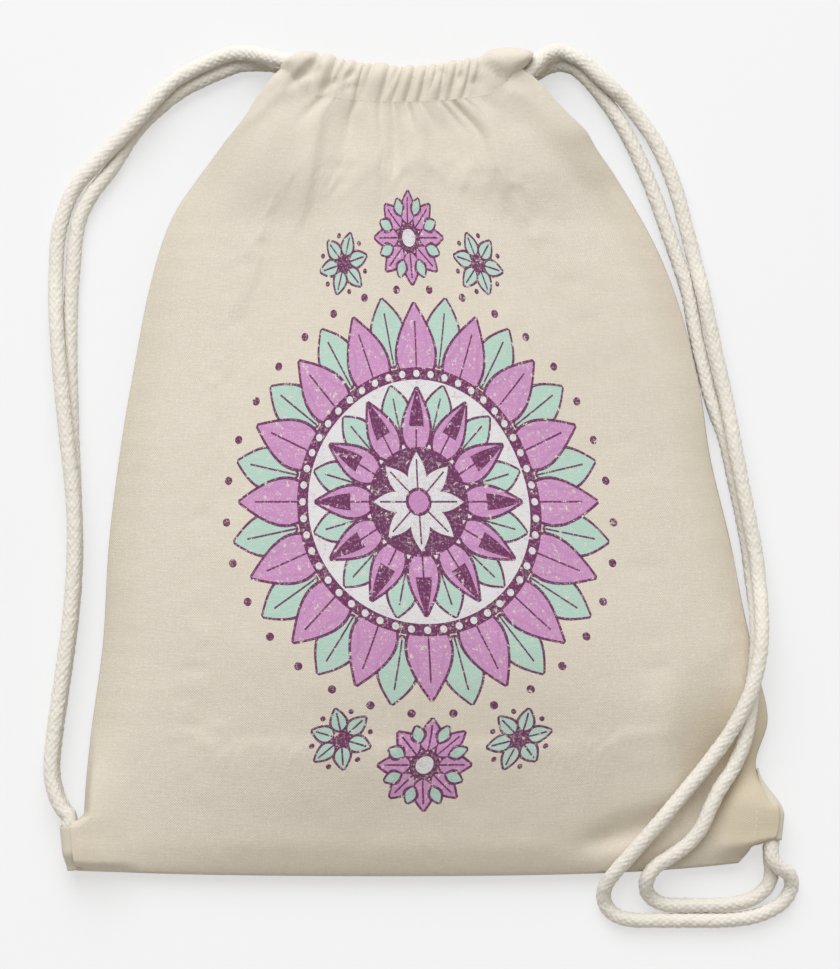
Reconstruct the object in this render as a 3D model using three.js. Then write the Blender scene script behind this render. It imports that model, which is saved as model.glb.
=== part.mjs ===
// Drawstring backpack of natural cotton, lying on its back with the mouth drawn shut.
// Millimetres, +Z up. The origin is on the floor, under the middle of the bag without its cords.
// +Y runs from the bottom seam to the mouth and +X to the viewer's right.
import * as THREE from "three";

// The bag as it lies.
const BAG_WIDTH = 373.2; // over both corner tabs
const BAG_LENGTH = 397; // from the bottom edge to the hem's stitch line
const BAG_DEPTH = 42; // floor to the crown of the front
const CLOTH = 0.8; // canvas, with its crinkle
const SEAM_HEIGHT = 7; // side and bottom seams above the floor
const SEAM_ALLOWANCE = 8; // overlocked edge inside the bag
const SEAM_THICKNESS = 1.6; // two layers and the overlock thread
const FIT = 0.3; // clearance between pieces that touch
const CORD_BREAK = 0.7; // gap where a free stretch of cord meets its end in a tab

// The tunnel hem at the mouth, gathered on the cords.
const GATHERED_WIDTH = 90; // the hem drawn up from its full width
const GATHER_X = -8; // the drawn mouth lies a little left of the middle
const GATHER_FLARE = 17; // cloth that spreads past each end of the hem
const HEM_HEIGHT = 18.5;
const HEM_CURVE = 7; // how far the ends of the drawn hem ride up
const MOUTH_GAP = 6; // slit left between the two hems
const PLEATS = 12;
const PLEAT_DEPTH = 1.2;

// Cords, and the tape loops that hold their ends at the bottom corners.
const CORD = 7.5;
const TAPE = 0.8;
const TAB_LENGTH = 16;
const TAB_REACH = 12.6; // from the cloth's corner to the outside of the tape
const NECK = 2; // the tape's two ends, sewn flat into the side seam
const CORD_IN_TAB = 14; // cord end inside the tape loop
const TAB_STRAIGHT = 5; // how far a cord runs straight out of its tab
const TURN_STRAIGHT = 1.5; // and out of the hem before its bight
const TAB_SHOULDER = 0.2; // flat part of the tape over each cord, as a share of the loop's half width
const TAB_AT = { left: 0.042, right: 0.058 }; // the tabs' middles, as shares of the length

// Outlines of the two sides: [share of the length, share of the way from the hem's end to the corner].
const LEFT_SIDE = [
  [0, 0.976],
  [0.068, 1],
  [0.171, 0.971],
  [0.3, 0.907],
  [0.431, 0.877],
  [0.559, 0.817],
  [0.665, 0.748],
  [0.768, 0.679],
  [0.851, 0.575],
  [0.924, 0.382],
  [0.975, 0.163],
  [1, 0],
];
const RIGHT_SIDE = [
  [0, 0.933],
  [0.035, 0.983],
  [0.068, 1],
  [0.139, 0.983],
  [0.196, 1.034],
  [0.262, 0.992],
  [0.34, 0.933],
  [0.431, 0.875],
  [0.539, 0.79],
  [0.637, 0.739],
  [0.741, 0.65],
  [0.819, 0.55],
  [0.897, 0.42],
  [0.957, 0.286],
  [0.985, 0.16],
  [1, 0],
];
const CORNER_LIFT = { left: 3, right: 7 }; // rise of the bottom edge at its two ends

// How the cloth falls. Places are shares of the bag's length or width; a higher power is more local.
const CROWN_AT = 0.36; // where the front stands highest
const CROWN_POWER = 0.75; // how quickly it climbs from the bottom seam to its crown
const SIDE_POWER = 2.2; // how squarely it falls off to the two sides
const SLIT_FROM = 0.88; // the side seams stop here, so that the mouth can open
const BACK_FLAT = 0.8; // middle share of the back that lies flat on the floor
const BACK_FOOT = 0.07; // the back turns up to the bottom seam within this
const CORNER_POWER = 6; // the lifted corners, across the bag
const CORNER_FADE = 4; // and along it
const BOW_FADE = 6; // the hem's bow, down the length of the bag
const SEAM_CLEAR = 0.01; // the side seams start this far above the bottom seam
const SEAM_MARGIN = 0.02; // and the bottom seam stops this far short of each side

// Section of the tunnel hem: [share of half its height, share of half its depth].
const HEM_SECTION = [
  [1, 0.35],
  [0.6, 1],
  [0, 1],
  [-0.6, 1],
  [-1, 0.35],
  [-1, -0.35],
  [-0.6, -1],
  [0, -1],
  [0.6, -1],
  [1, -0.35],
];

// Mesh fineness.
const BACK_GRID = { columns: 16, rows: 18 };
const FRONT_GRID = { columns: 24, rows: 26 };
const HEM_CROWDING = 1.3; // rows of a panel lie closer together near the hem
const SLOPE_STEP = 1e-3; // share of the sheet over which its slope is measured
const TAB_STEP = 0.02; // and the side's slope at a tab
const SIDE_SEAM_STEPS = 30;
const BOTTOM_SEAM_STEPS = 24;
const PLEAT_COLUMNS = 4; // per pleat
const RUN_STEPS = 8;
const BIGHT_STATIONS = 8;
const BIGHT_STEPS = 12;
const LEAD_STEPS = 8;
const STRAP_STEPS = 34;
const TAIL_STEPS = 46;
const CORD_CORNERS = 4; // half the corners of a cord's round section

const COTTON = { color: 0xd8d0be, roughness: 0.95, metalness: 0 };
const BLEACHED = { color: 0xe3dccd, roughness: 0.9, metalness: 0 };

// Levels that follow from the sizes above.
const tunnelDepth = CORD + 2 * FIT;
const hemDepth = tunnelDepth + 2 * CLOTH + 2 * PLEAT_DEPTH;
const backHemZ = hemDepth / 2;
const frontHemZ = backHemZ + hemDepth + MOUTH_GAP;
const frontRimZ = SEAM_HEIGHT + SEAM_THICKNESS / 2 + FIT;
const backRimZ = SEAM_HEIGHT - SEAM_THICKNESS / 2 - FIT;
const gatherHalf = GATHERED_WIDTH / 2;
const hemEndHalf = gatherHalf + GATHER_FLARE;
const hemRise = HEM_CURVE * (gatherHalf / hemEndHalf) ** 2;
const bottomY = -(BAG_LENGTH + FIT + HEM_HEIGHT + hemRise) / 2;
const hemY = bottomY + BAG_LENGTH;
const cornerX = BAG_WIDTH / 2 - TAB_REACH;

const bag = new THREE.Group();

function addPiece(name, geometry, finish) {
  const piece = new THREE.Mesh(geometry, new THREE.MeshStandardMaterial(finish));
  piece.name = name;
  bag.add(piece);
  return piece;
}

// A smooth curve through [position, value] pairs.
function curveThrough(pairs) {
  const slopes = pairs.map((pair, i) => {
    const before = pairs[Math.max(i - 1, 0)];
    const after = pairs[Math.min(i + 1, pairs.length - 1)];
    return (after[1] - before[1]) / (after[0] - before[0]);
  });
  return (at) => {
    let i = 0;
    while (i < pairs.length - 2 && at > pairs[i + 1][0]) i += 1;
    const span = pairs[i + 1][0] - pairs[i][0];
    const u = THREE.MathUtils.clamp((at - pairs[i][0]) / span, 0, 1);
    const rise = u * u * (3 - 2 * u);
    const start = u * (1 - u) * (1 - u) * slopes[i] * span;
    const end = u * u * (u - 1) * slopes[i + 1] * span;
    return pairs[i][1] * (1 - rise) + pairs[i + 1][1] * rise + start + end;
  };
}

const leftReach = curveThrough(LEFT_SIDE);
const rightReach = curveThrough(RIGHT_SIDE);

// The drawn hem's stitch line: a shallow bow whose ends ride up.
function stitchLineY(x) {
  return hemY + HEM_CURVE * ((x - GATHER_X) / hemEndHalf) ** 2;
}

// Plan position at a share across (0 left, 1 right) and a share along (0 bottom, 1 hem).
function planAt(across, along) {
  const leftEnd = GATHER_X - hemEndHalf;
  const rightEnd = GATHER_X + hemEndHalf;
  const left = THREE.MathUtils.lerp(leftEnd, -cornerX, leftReach(along));
  const right = THREE.MathUtils.lerp(rightEnd, cornerX, rightReach(along));
  const x = THREE.MathUtils.lerp(left, right, across);
  const leftLift = CORNER_LIFT.left * (1 - across) ** CORNER_POWER;
  const rightLift = CORNER_LIFT.right * across ** CORNER_POWER;
  const corner = (leftLift + rightLift) * (1 - along) ** CORNER_FADE;
  const bow = HEM_CURVE * (2 * across - 1) ** 2 * along ** BOW_FADE;
  return new THREE.Vector2(x, bottomY + BAG_LENGTH * along + corner + bow);
}

// Inside face of the front: a soft crown that falls to the seams and rises to the hem.
function frontInside(across, along) {
  const open = THREE.MathUtils.smoothstep(along, SLIT_FROM, 1);
  const hemZ = frontHemZ - CLOTH / 2;
  const rim = THREE.MathUtils.lerp(frontRimZ, hemZ, open);
  const climb = Math.sin((Math.PI / 2) * Math.min(along / CROWN_AT, 1)) ** CROWN_POWER;
  const fall = THREE.MathUtils.smoothstep(along, CROWN_AT, 1);
  const top = THREE.MathUtils.lerp(BAG_DEPTH - CLOTH, hemZ, fall);
  const crown = THREE.MathUtils.lerp(frontRimZ, top, climb);
  const spread = 1 - Math.abs(2 * across - 1) ** SIDE_POWER;
  const z = THREE.MathUtils.lerp(rim, crown, spread);
  const plan = planAt(across, along);
  return new THREE.Vector3(plan.x, plan.y, z);
}

// Inside face of the back: flat on the floor, turned up to the seams and to its hem.
function backInside(across, along) {
  const side = THREE.MathUtils.smoothstep(Math.abs(2 * across - 1), BACK_FLAT, 1);
  const foot = 1 - THREE.MathUtils.smoothstep(along, 0, BACK_FOOT);
  const turnUp = 1 - (1 - side) * (1 - foot);
  const hem = THREE.MathUtils.smoothstep(along, SLIT_FROM, 1);
  const seam = THREE.MathUtils.lerp(CLOTH, backRimZ, turnUp);
  const z = THREE.MathUtils.lerp(seam, backHemZ + CLOTH / 2, hem);
  const plan = planAt(across, along);
  return new THREE.Vector3(plan.x, plan.y, z);
}

// A closed sheet of cloth: its inside face, and the same face set off by the cloth's thickness.
function clothSheet(inside, outwardSign, { columns, rows }) {
  const points = [];
  const faces = [];
  const step = SLOPE_STEP;
  const shareAlong = (j) => 1 - (1 - j / rows) ** HEM_CROWDING;
  const layer = (columns + 1) * (rows + 1);
  const at = (i, j) => j * (columns + 1) + i;
  for (let j = 0; j <= rows; j += 1) {
    for (let i = 0; i <= columns; i += 1) {
      points.push(inside(i / columns, shareAlong(j)));
    }
  }
  for (let j = 0; j <= rows; j += 1) {
    for (let i = 0; i <= columns; i += 1) {
      const u = THREE.MathUtils.clamp(i / columns, step, 1 - step);
      const v = THREE.MathUtils.clamp(shareAlong(j), step, 1 - step);
      const across = inside(u + step, v).sub(inside(u - step, v));
      const along = inside(u, v + step).sub(inside(u, v - step));
      const normal = across.cross(along).normalize();
      points.push(points[at(i, j)].clone().addScaledVector(normal, outwardSign * CLOTH));
    }
  }
  const quad = (a, b, c, d) => {
    if (outwardSign > 0) faces.push(a, b, c, a, c, d);
    else faces.push(a, c, b, a, d, c);
  };
  for (let j = 0; j < rows; j += 1) {
    for (let i = 0; i < columns; i += 1) {
      const corners = [at(i, j), at(i + 1, j), at(i + 1, j + 1), at(i, j + 1)];
      quad(...corners.map((corner) => corner + layer));
      quad(...corners.reverse());
    }
  }
  const rim = [];
  for (let i = 0; i < columns; i += 1) rim.push(at(i, 0));
  for (let j = 0; j < rows; j += 1) rim.push(at(columns, j));
  for (let i = columns; i > 0; i -= 1) rim.push(at(i, rows));
  for (let j = rows; j > 0; j -= 1) rim.push(at(0, j));
  rim.forEach((here, n) => {
    const next = rim[(n + 1) % rim.length];
    quad(here, next, next + layer, here + layer);
  });
  return meshFrom(points, faces);
}

function meshFrom(points, faces) {
  return new THREE.BufferGeometry().setFromPoints(points).setIndex(faces);
}

// A strip swept through sections of four corners each, closed at both ends.
function sweptStrip(sections) {
  const points = sections.flat();
  const faces = [0, 2, 1, 0, 3, 2];
  for (let n = 0; n < sections.length - 1; n += 1) {
    for (let k = 0; k < 4; k += 1) {
      const a = 4 * n + k;
      const b = 4 * n + ((k + 1) % 4);
      faces.push(a, b, b + 4, a, b + 4, a + 4);
    }
  }
  const last = points.length - 4;
  faces.push(last, last + 1, last + 2, last, last + 2, last + 3);
  return meshFrom(points, faces);
}

function seamSection(edge, inner) {
  const low = SEAM_HEIGHT - SEAM_THICKNESS / 2;
  const high = SEAM_HEIGHT + SEAM_THICKNESS / 2;
  return [
    new THREE.Vector3(edge.x, edge.y, low),
    new THREE.Vector3(edge.x, edge.y, high),
    new THREE.Vector3(inner.x, inner.y, high),
    new THREE.Vector3(inner.x, inner.y, low),
  ];
}

// The seam allowances: two raw edges overlocked together, standing into the bag.
function sideSeam(across) {
  const sections = [];
  const inward = across === 0 ? 1 : -1;
  const start = SEAM_ALLOWANCE / BAG_LENGTH + SEAM_CLEAR;
  for (let n = 0; n <= SIDE_SEAM_STEPS; n += 1) {
    const edge = planAt(across, THREE.MathUtils.lerp(start, SLIT_FROM, n / SIDE_SEAM_STEPS));
    const inner = edge.clone().setX(edge.x + inward * SEAM_ALLOWANCE);
    sections.push(seamSection(edge, inner));
  }
  if (across === 1) sections.reverse();
  return sweptStrip(sections);
}

function bottomSeam() {
  const sections = [];
  for (let n = 0; n <= BOTTOM_SEAM_STEPS; n += 1) {
    const across = THREE.MathUtils.lerp(1 - SEAM_MARGIN, SEAM_MARGIN, n / BOTTOM_SEAM_STEPS);
    const edge = planAt(across, 0);
    sections.push(seamSection(edge, edge.clone().setY(edge.y + SEAM_ALLOWANCE)));
  }
  return sweptStrip(sections);
}

// The drawn hem's middle line, and the direction square to it in plan.
function hemLine(x, offset) {
  const slope = (2 * HEM_CURVE * (x - GATHER_X)) / hemEndHalf ** 2;
  const square = new THREE.Vector2(-slope, 1).normalize();
  const middle = stitchLineY(x) + FIT + HEM_HEIGHT / 2;
  return new THREE.Vector2(x, middle).addScaledVector(square, offset);
}

// A tunnel hem: a flat sleeve along the hem line whose outside is thrown into pleats.
function tunnelHem(level) {
  const columns = PLEAT_COLUMNS * PLEATS;
  const points = [];
  const faces = [];
  const ring = (x, halfHeight, halfDepth) => {
    for (const [a, b] of HEM_SECTION) {
      const plan = hemLine(x, a * halfHeight);
      points.push(new THREE.Vector3(plan.x, plan.y, level + b * halfDepth));
    }
  };
  const count = HEM_SECTION.length;
  const outerHalf = tunnelDepth / 2 + CLOTH;
  for (let n = 0; n <= columns; n += 1) {
    const pleat = 0.5 - 0.5 * Math.cos((2 * Math.PI * PLEATS * n) / columns);
    const x = GATHER_X - gatherHalf + (GATHERED_WIDTH * n) / columns;
    ring(x, HEM_HEIGHT / 2, outerHalf + PLEAT_DEPTH * pleat);
  }
  const innerStart = points.length;
  const innerColumns = PLEATS;
  for (let n = 0; n <= innerColumns; n += 1) {
    const x = GATHER_X - gatherHalf + (GATHERED_WIDTH * n) / innerColumns;
    ring(x, HEM_HEIGHT / 2 - CLOTH, tunnelDepth / 2);
  }
  const wall = (first, rings, outward) => {
    for (let n = 0; n < rings; n += 1) {
      for (let k = 0; k < count; k += 1) {
        const a = first + n * count + k;
        const b = first + n * count + ((k + 1) % count);
        if (outward) faces.push(a, b, b + count, a, b + count, a + count);
        else faces.push(a, b + count, b, a, a + count, b + count);
      }
    }
  };
  wall(0, columns, true);
  wall(innerStart, innerColumns, false);
  const outerEnd = columns * count;
  const innerEnd = innerStart + innerColumns * count;
  for (let k = 0; k < count; k += 1) {
    const next = (k + 1) % count;
    faces.push(k, innerStart + k, innerStart + next, k, innerStart + next, next);
    faces.push(outerEnd + k, innerEnd + next, innerEnd + k);
    faces.push(outerEnd + k, outerEnd + next, innerEnd + next);
  }
  return meshFrom(points, faces);
}

// A round cord along hand-chosen points.
function cordAlong(points, steps) {
  const path = new THREE.CatmullRomCurve3(points);
  const section = new THREE.Shape().absarc(0, 0, CORD / 2, 0, 2 * Math.PI, false);
  return new THREE.ExtrudeGeometry(section, { steps, curveSegments: CORD_CORNERS, extrudePath: path });
}

function addCord(name, route, steps) {
  const points = route.map((place) => new THREE.Vector3(...place));
  return addPiece(name, cordAlong(points, steps), BLEACHED);
}

// One cord's run through a hem, beside the other cord.
const laneOffset = CORD / 2 + FIT / 2;

function hemRun(level, lane) {
  const points = [];
  for (let n = 0; n <= RUN_STEPS; n += 1) {
    const x = GATHER_X - gatherHalf + (GATHERED_WIDTH * n) / RUN_STEPS;
    const plan = hemLine(x, lane * laneOffset);
    points.push(new THREE.Vector3(plan.x, plan.y, level));
  }
  return cordAlong(points, RUN_STEPS);
}

// A place on a cord's own line, so far out of the end of the hem.
function hemExit(end, lane, past) {
  const x = GATHER_X + end * gatherHalf;
  const slope = (2 * HEM_CURVE * (x - GATHER_X)) / hemEndHalf ** 2;
  const outward = new THREE.Vector2(1, slope).normalize().multiplyScalar(end);
  return hemLine(x, lane * laneOffset).addScaledVector(outward, past);
}

// The bight where a cord passes from the front hem into the back hem at the far end.
function hemTurn(end, lane) {
  const radius = (frontHemZ - backHemZ) / 2;
  const at = (past, z) => {
    const plan = hemExit(end, lane, past);
    return new THREE.Vector3(plan.x, plan.y, z);
  };
  const points = [at(FIT, frontHemZ)];
  for (let n = 0; n <= BIGHT_STATIONS; n += 1) {
    const turn = (Math.PI * n) / BIGHT_STATIONS;
    const past = FIT + TURN_STRAIGHT + radius * Math.sin(turn);
    points.push(at(past, backHemZ + radius * (1 + Math.cos(turn))));
  }
  points.push(at(FIT, backHemZ));
  return cordAlong(points, BIGHT_STEPS);
}

// A corner tab: a short tape folded round two cord ends, its own ends sewn into the side seam.
// The tape's loop runs along Y, with its fold outward and its neck towards the bag.
const holeHalf = CORD / 2 + FIT;
const holeTall = laneOffset + holeHalf;
const loopHalf = holeHalf + TAPE;
const tabZ = holeTall + TAPE + FIT;
const tabLanes = { back: tabZ - laneOffset, front: tabZ + laneOffset };

function tapeOutline(inward) {
  const tall = holeTall + TAPE;
  const side = inward * loopHalf;
  const shoulder = side * TAB_SHOULDER;
  const neckLow = SEAM_HEIGHT - SEAM_THICKNESS / 2 - tabZ;
  const neckHigh = neckLow + SEAM_THICKNESS;
  const loop = new THREE.Shape();
  loop.moveTo(side, neckHigh);
  loop.lineTo(side, tall - loopHalf);
  loop.quadraticCurveTo(side, tall, shoulder, tall);
  loop.lineTo(-shoulder, tall);
  loop.quadraticCurveTo(-side, tall, -side, tall - loopHalf);
  loop.lineTo(-side, loopHalf - tall);
  loop.quadraticCurveTo(-side, -tall, -shoulder, -tall);
  loop.lineTo(shoulder, -tall);
  loop.quadraticCurveTo(side, -tall, side, loopHalf - tall);
  loop.lineTo(side, neckLow);
  loop.lineTo(side + inward * NECK, neckLow);
  loop.lineTo(side + inward * NECK, neckHigh);
  loop.closePath();
  const hole = new THREE.Path();
  hole.absarc(0, holeTall - holeHalf, holeHalf, 0, Math.PI, false);
  hole.absarc(0, holeHalf - holeTall, holeHalf, Math.PI, 2 * Math.PI, false);
  loop.holes.push(hole);
  return loop;
}

function addCornerTab(side) {
  const across = side === "left" ? 0 : 1;
  const inward = side === "left" ? 1 : -1;
  const seam = planAt(across, TAB_AT[side]);
  const above = planAt(across, TAB_AT[side] + TAB_STEP);
  const below = planAt(across, TAB_AT[side] - TAB_STEP);
  const tangent = above.sub(below).normalize();
  const square = new THREE.Vector2(tangent.y, -tangent.x);
  const place = seam.clone().addScaledVector(square, -inward * (FIT + NECK + loopHalf));
  const geometry = new THREE.ExtrudeGeometry(tapeOutline(inward), {
    depth: TAB_LENGTH,
    curveSegments: 6,
    bevelEnabled: false,
  });
  geometry.rotateX(Math.PI / 2).translate(0, TAB_LENGTH / 2, 0);
  const tab = addPiece(`${side}_corner_tab`, geometry, COTTON);
  tab.position.set(place.x, place.y, tabZ);
  tab.rotation.z = Math.atan2(-tangent.x, tangent.y);
  return (out) => place.clone().addScaledVector(tangent, inward * (TAB_LENGTH / 2 + out));
}

// The left cord enters its loop from above, the right cord from below: a place on the loop's own line,
// so far out of its mouth, or inside it where the distance is negative.
const tabMouth = { left: addCornerTab("left"), right: addCornerTab("right") };

function tabPlace(side, lane, out) {
  const plan = tabMouth[side](out);
  return [plan.x, plan.y, tabLanes[lane]];
}

// Routes of the free cord, chosen by hand: a lead out of the hem, the strap, and on the right a tail
// that crosses the front, turns on the floor below the bottom edge and comes back up to the corner.
const LEADS = {
  left_front: [
    [-60, 205.7, 24.1], [-70, 209, 22.4], [-78.5, 211.5, 17.2], [-84.5, 213.2, 12.4], [-89, 214, 10.3],
    [-92.5, 214.1, 9.9],
  ],
  left_back: [
    [-60, 205.7, 5.6], [-72, 207.9, 4.6], [-82, 209, 4], [-88, 209.1, 3.9], [-91.1, 209, 3.9],
  ],
  right_front: [
    [44, 197.9, 24], [51.5, 200.3, 22.6], [58, 205.7, 19.4], [63.5, 211.1, 14.8], [69, 214.1, 11.2],
    [73.2, 214.4, 10], [76.3, 213.3, 9.9],
  ],
  right_back: [
    [44, 197.9, 5.8], [51.5, 200.1, 5.2], [59, 204.2, 4.6], [66, 207.9, 4.1], [72.3, 209, 3.9],
    [75.3, 208.2, 3.9],
  ],
};
const STRAPS = {
  left_front: [
    [-92.95, 214.1, 9.85], [-97, 214, 9.6], [-104.5, 211.9, 9.4], [-113.3, 207.9, 9.2],
    [-126.7, 200.5, 9.8], [-139, 188.2, 11.4], [-148.8, 176.8, 11.7], [-164.8, 160.2, 7.9],
    [-179.7, 143.8, 4.5], [-186.9, 124.3, 4], [-188.8, 102.1, 4.4], [-188, 71.7, 9.3],
    [-183.8, 25.7, 11.4], [-179.4, -15.8, 11.8], [-179, -46.7, 11.8], [-181.3, -77.6, 11.8],
    [-185.4, -108.5, 11.8], [-189.3, -136.3, 11.9], [-190.8, -155.3, 12.2], [-188.4, -167.3, 12.6],
    [-184.6, -175.1, 12.9],
  ],
  left_back: [
    [-91.55, 208.95, 3.9], [-95, 208.4, 3.9], [-101, 206.1, 3.9], [-108.7, 202.9, 3.9],
    [-123.6, 195.5, 3.9], [-137, 185.2, 3.9], [-147.2, 174.9, 3.9], [-160, 155.2, 3.9],
    [-171, 140.7, 3.9], [-177.2, 126.7, 3.9], [-180.1, 102.1, 3.9], [-181.5, 71.7, 3.9],
    [-180.8, 25.7, 3.9], [-179.2, -15.8, 3.9], [-178.6, -46.7, 3.9], [-180.8, -77.6, 3.9],
    [-184.9, -108.5, 3.9], [-188.8, -136.3, 4], [-190.3, -155.3, 4.4], [-188, -167.3, 4.8],
    [-184.4, -175.1, 5.1],
  ],
  right_front: [
    [76.75, 213.15, 9.9], [80, 211.8, 9.9], [84, 209, 10], [91.7, 201.5, 10.1], [98.5, 195.6, 8.8],
    [104.8, 189.7, 5.6], [111.5, 181.7, 4.2], [118.5, 172.2, 3.9], [125, 159.8, 3.9],
    [131.3, 143.3, 3.9], [136.2, 125.3, 3.9], [140.9, 106.7, 4.4], [144.8, 90.3, 8], [149.8, 66.7, 8.2],
    [156.6, 35.7, 8.8], [160.3, 15.1, 11], [164.3, -5.5, 11.3], [168.4, -26.1, 11.4],
    [171.6, -43.1, 11.3],
  ],
  right_back: [
    [75.75, 208.05, 3.9], [79, 206.9, 3.9], [88, 198.4, 3.9], [98.9, 184, 3.9], [106.6, 171.1, 3.9],
    [113.8, 156.2, 3.9], [121, 138.7, 3.9], [127.4, 120.7, 3.9], [132.4, 106.7, 3.9],
    [137.5, 90.3, 3.9], [141.9, 66.7, 3.9], [149.4, 35.7, 3.9], [156.6, 15.1, 3.9], [161.2, -5.5, 3.9],
    [165.6, -26.1, 3.9], [168.6, -43.1, 3.9],
  ],
};
const TAILS = {
  right_front: [
    [171.7, -43.9, 11.3], [173.2, -58.3, 13.2], [174, -72.3, 18.2], [173.8, -86.3, 22],
    [172, -100.3, 23], [168.3, -113.3, 23.7], [162.6, -126.3, 22.6], [154.5, -139.8, 20.4],
    [145, -152.3, 20.4], [134, -165.8, 21.3], [122.8, -179.3, 20.8], [113, -190.8, 18.9],
    [104.5, -200.7, 16.6], [98.5, -207.8, 14], [94.8, -213.8, 10.4], [93.5, -219.3, 6.8],
    [95.5, -225.8, 4.4], [100.5, -230.3, 3.9], [108, -232.3, 3.9], [122, -232.7, 3.9],
    [139.6, -232.7, 3.9], [158, -232.5, 3.9], [174, -229.9, 3.9], [186, -223.3, 3.9],
    [190.6, -215.3, 4.8], [189, -208.5, 8.4], [184, -204.7, 11.4], [180.5, -200.7, 12.8],
  ],
  right_back: [
    [168.7, -44.1, 3.9], [170.4, -58.3, 4.8], [171.9, -72.3, 9.5], [172.3, -86.3, 13.4],
    [171.4, -100.3, 14.8], [169.4, -113.3, 15.6], [168, -126.3, 16.8], [165.4, -139.3, 17.2],
    [160, -152.3, 17], [152.5, -164.3, 18.2], [147.5, -174.3, 18.4], [143, -184.3, 17.6],
    [136.4, -192.3, 16.6], [128.3, -198.3, 15.4], [120.2, -203.9, 14.4], [116.2, -209.3, 13.2],
    [115.2, -213.7, 10.4], [116, -217.7, 7], [118.9, -221.3, 4.9], [123, -223.7, 3.9],
    [128, -224.7, 3.9], [142, -224.9, 3.9], [157, -224.5, 3.9], [170, -221.6, 3.9], [178, -215.3, 3.9],
    [180.3, -208.3, 4.2], [179.8, -201.3, 4.9],
  ],
};

// Cloth.
addPiece("back_panel", clothSheet(backInside, -1, BACK_GRID), COTTON);
addPiece("front_panel", clothSheet(frontInside, 1, FRONT_GRID), COTTON);
addPiece("back_casing", tunnelHem(backHemZ), COTTON);
addPiece("front_casing", tunnelHem(frontHemZ), COTTON);
addPiece("left_side_seam", sideSeam(0), COTTON);
addPiece("right_side_seam", sideSeam(1), COTTON);
addPiece("bottom_seam", bottomSeam(), COTTON);

// Cords: the runs in the two hems, the bights at their far ends, and the free stretches.
const CORDS = { left: { exit: -1, lane: 1 }, right: { exit: 1, lane: -1 } };
const HEM_LEVELS = { front: frontHemZ, back: backHemZ };
for (const [side, { exit, lane }] of Object.entries(CORDS)) {
  addPiece(`${side}_cord_turn`, hemTurn(-exit, lane), BLEACHED);
  for (const [hem, level] of Object.entries(HEM_LEVELS)) {
    const name = `${side}_${hem}`;
    addPiece(`${side}_cord_${hem}_run`, hemRun(level, lane), BLEACHED);
    const start = hemExit(exit, lane, FIT);
    addCord(`${side}_cord_${hem}_lead`, [[start.x, start.y, level], ...LEADS[name]], LEAD_STEPS);
    const intoTab = [TAB_STRAIGHT, CORD_BREAK].map((out) => tabPlace(side, hem, out));
    if (TAILS[name]) {
      addCord(`${side}_cord_${hem}_strap`, STRAPS[name], STRAP_STEPS);
      addCord(`${side}_cord_${hem}_tail`, [...TAILS[name], ...intoTab], TAIL_STEPS);
    } else {
      addCord(`${side}_cord_${hem}_strap`, [...STRAPS[name], ...intoTab], STRAP_STEPS);
    }
    const end = [0, -CORD_IN_TAB].map((out) => tabPlace(side, hem, out));
    addCord(`${side}_cord_${hem}_end`, end, 1);
  }
}

export default bag;
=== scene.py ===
"""A natural cotton drawstring backpack, lying on its back with its mouth drawn shut."""

import math

import bpy
import numpy as np
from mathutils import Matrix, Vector, noise
from mathutils.kdtree import KDTree


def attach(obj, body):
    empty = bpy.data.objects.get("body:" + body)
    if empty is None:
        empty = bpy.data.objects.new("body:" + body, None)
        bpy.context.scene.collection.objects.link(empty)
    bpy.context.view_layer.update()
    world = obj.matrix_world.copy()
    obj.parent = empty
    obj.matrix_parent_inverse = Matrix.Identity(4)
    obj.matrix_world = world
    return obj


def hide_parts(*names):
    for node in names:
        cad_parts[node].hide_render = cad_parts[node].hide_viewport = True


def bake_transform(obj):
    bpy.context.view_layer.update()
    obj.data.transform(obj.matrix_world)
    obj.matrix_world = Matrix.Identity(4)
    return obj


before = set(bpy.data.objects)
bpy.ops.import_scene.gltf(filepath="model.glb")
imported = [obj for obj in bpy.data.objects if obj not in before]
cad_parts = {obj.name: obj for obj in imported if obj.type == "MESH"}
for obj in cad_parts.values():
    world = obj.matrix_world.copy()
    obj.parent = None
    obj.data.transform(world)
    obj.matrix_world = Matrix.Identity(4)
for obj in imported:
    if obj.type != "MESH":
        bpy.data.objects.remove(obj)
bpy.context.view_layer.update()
scene = bpy.context.scene


# The view. The bag lies on a pale floor and is seen from straight above through a long lens,
# with its mouth at the top of the picture.
PICTURE_HEIGHT = 969  # pixels
METRES_PER_PIXEL = 0.000515  # at the height of the cords
PICTURE_MIDDLE = (-0.0010, -0.0078)  # on the floor
CAMERA_HEIGHT = 2.2
CORD_LEVEL = 0.008


def add_object(name, data):
    """A new object in the scene."""
    thing = bpy.data.objects.new(name, data)
    scene.collection.objects.link(thing)
    return thing


lens = bpy.data.cameras.new("camera")
lens.sensor_width = 36
lens.lens = lens.sensor_width * (CAMERA_HEIGHT - CORD_LEVEL) / (PICTURE_HEIGHT * METRES_PER_PIXEL)
scene.camera = add_object("camera", lens)
scene.camera.location = (*PICTURE_MIDDLE, CAMERA_HEIGHT)


# The light. A broad soft lamp stands beyond the mouth, a little to the left, with a weak one nearer to
# the bag, and a pale room fills the shadows, so that a flat face is about as bright as its colour.
LAMP_FROM = (-0.10, 0.88, 0.86)
LAMP_STRENGTH = 2.38
LAMP_SPREAD = math.radians(50)
ROOM_STRENGTH = 0.46
LAMP_TINT = (0.978, 1.0, 1.045)
ROOM_TINT = (1.0, 0.960, 0.890, 1)
NEAR_LAMP_AT = (-0.25, 0.80, 0.62)
NEAR_LAMP_WATTS = 1.5
NEAR_LAMP_SIZE = 0.5
NEAR_LAMP_TINT = (0.96, 0.99, 1.06)
BACKDROP = (0.910, 0.910, 0.912, 1)


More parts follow.
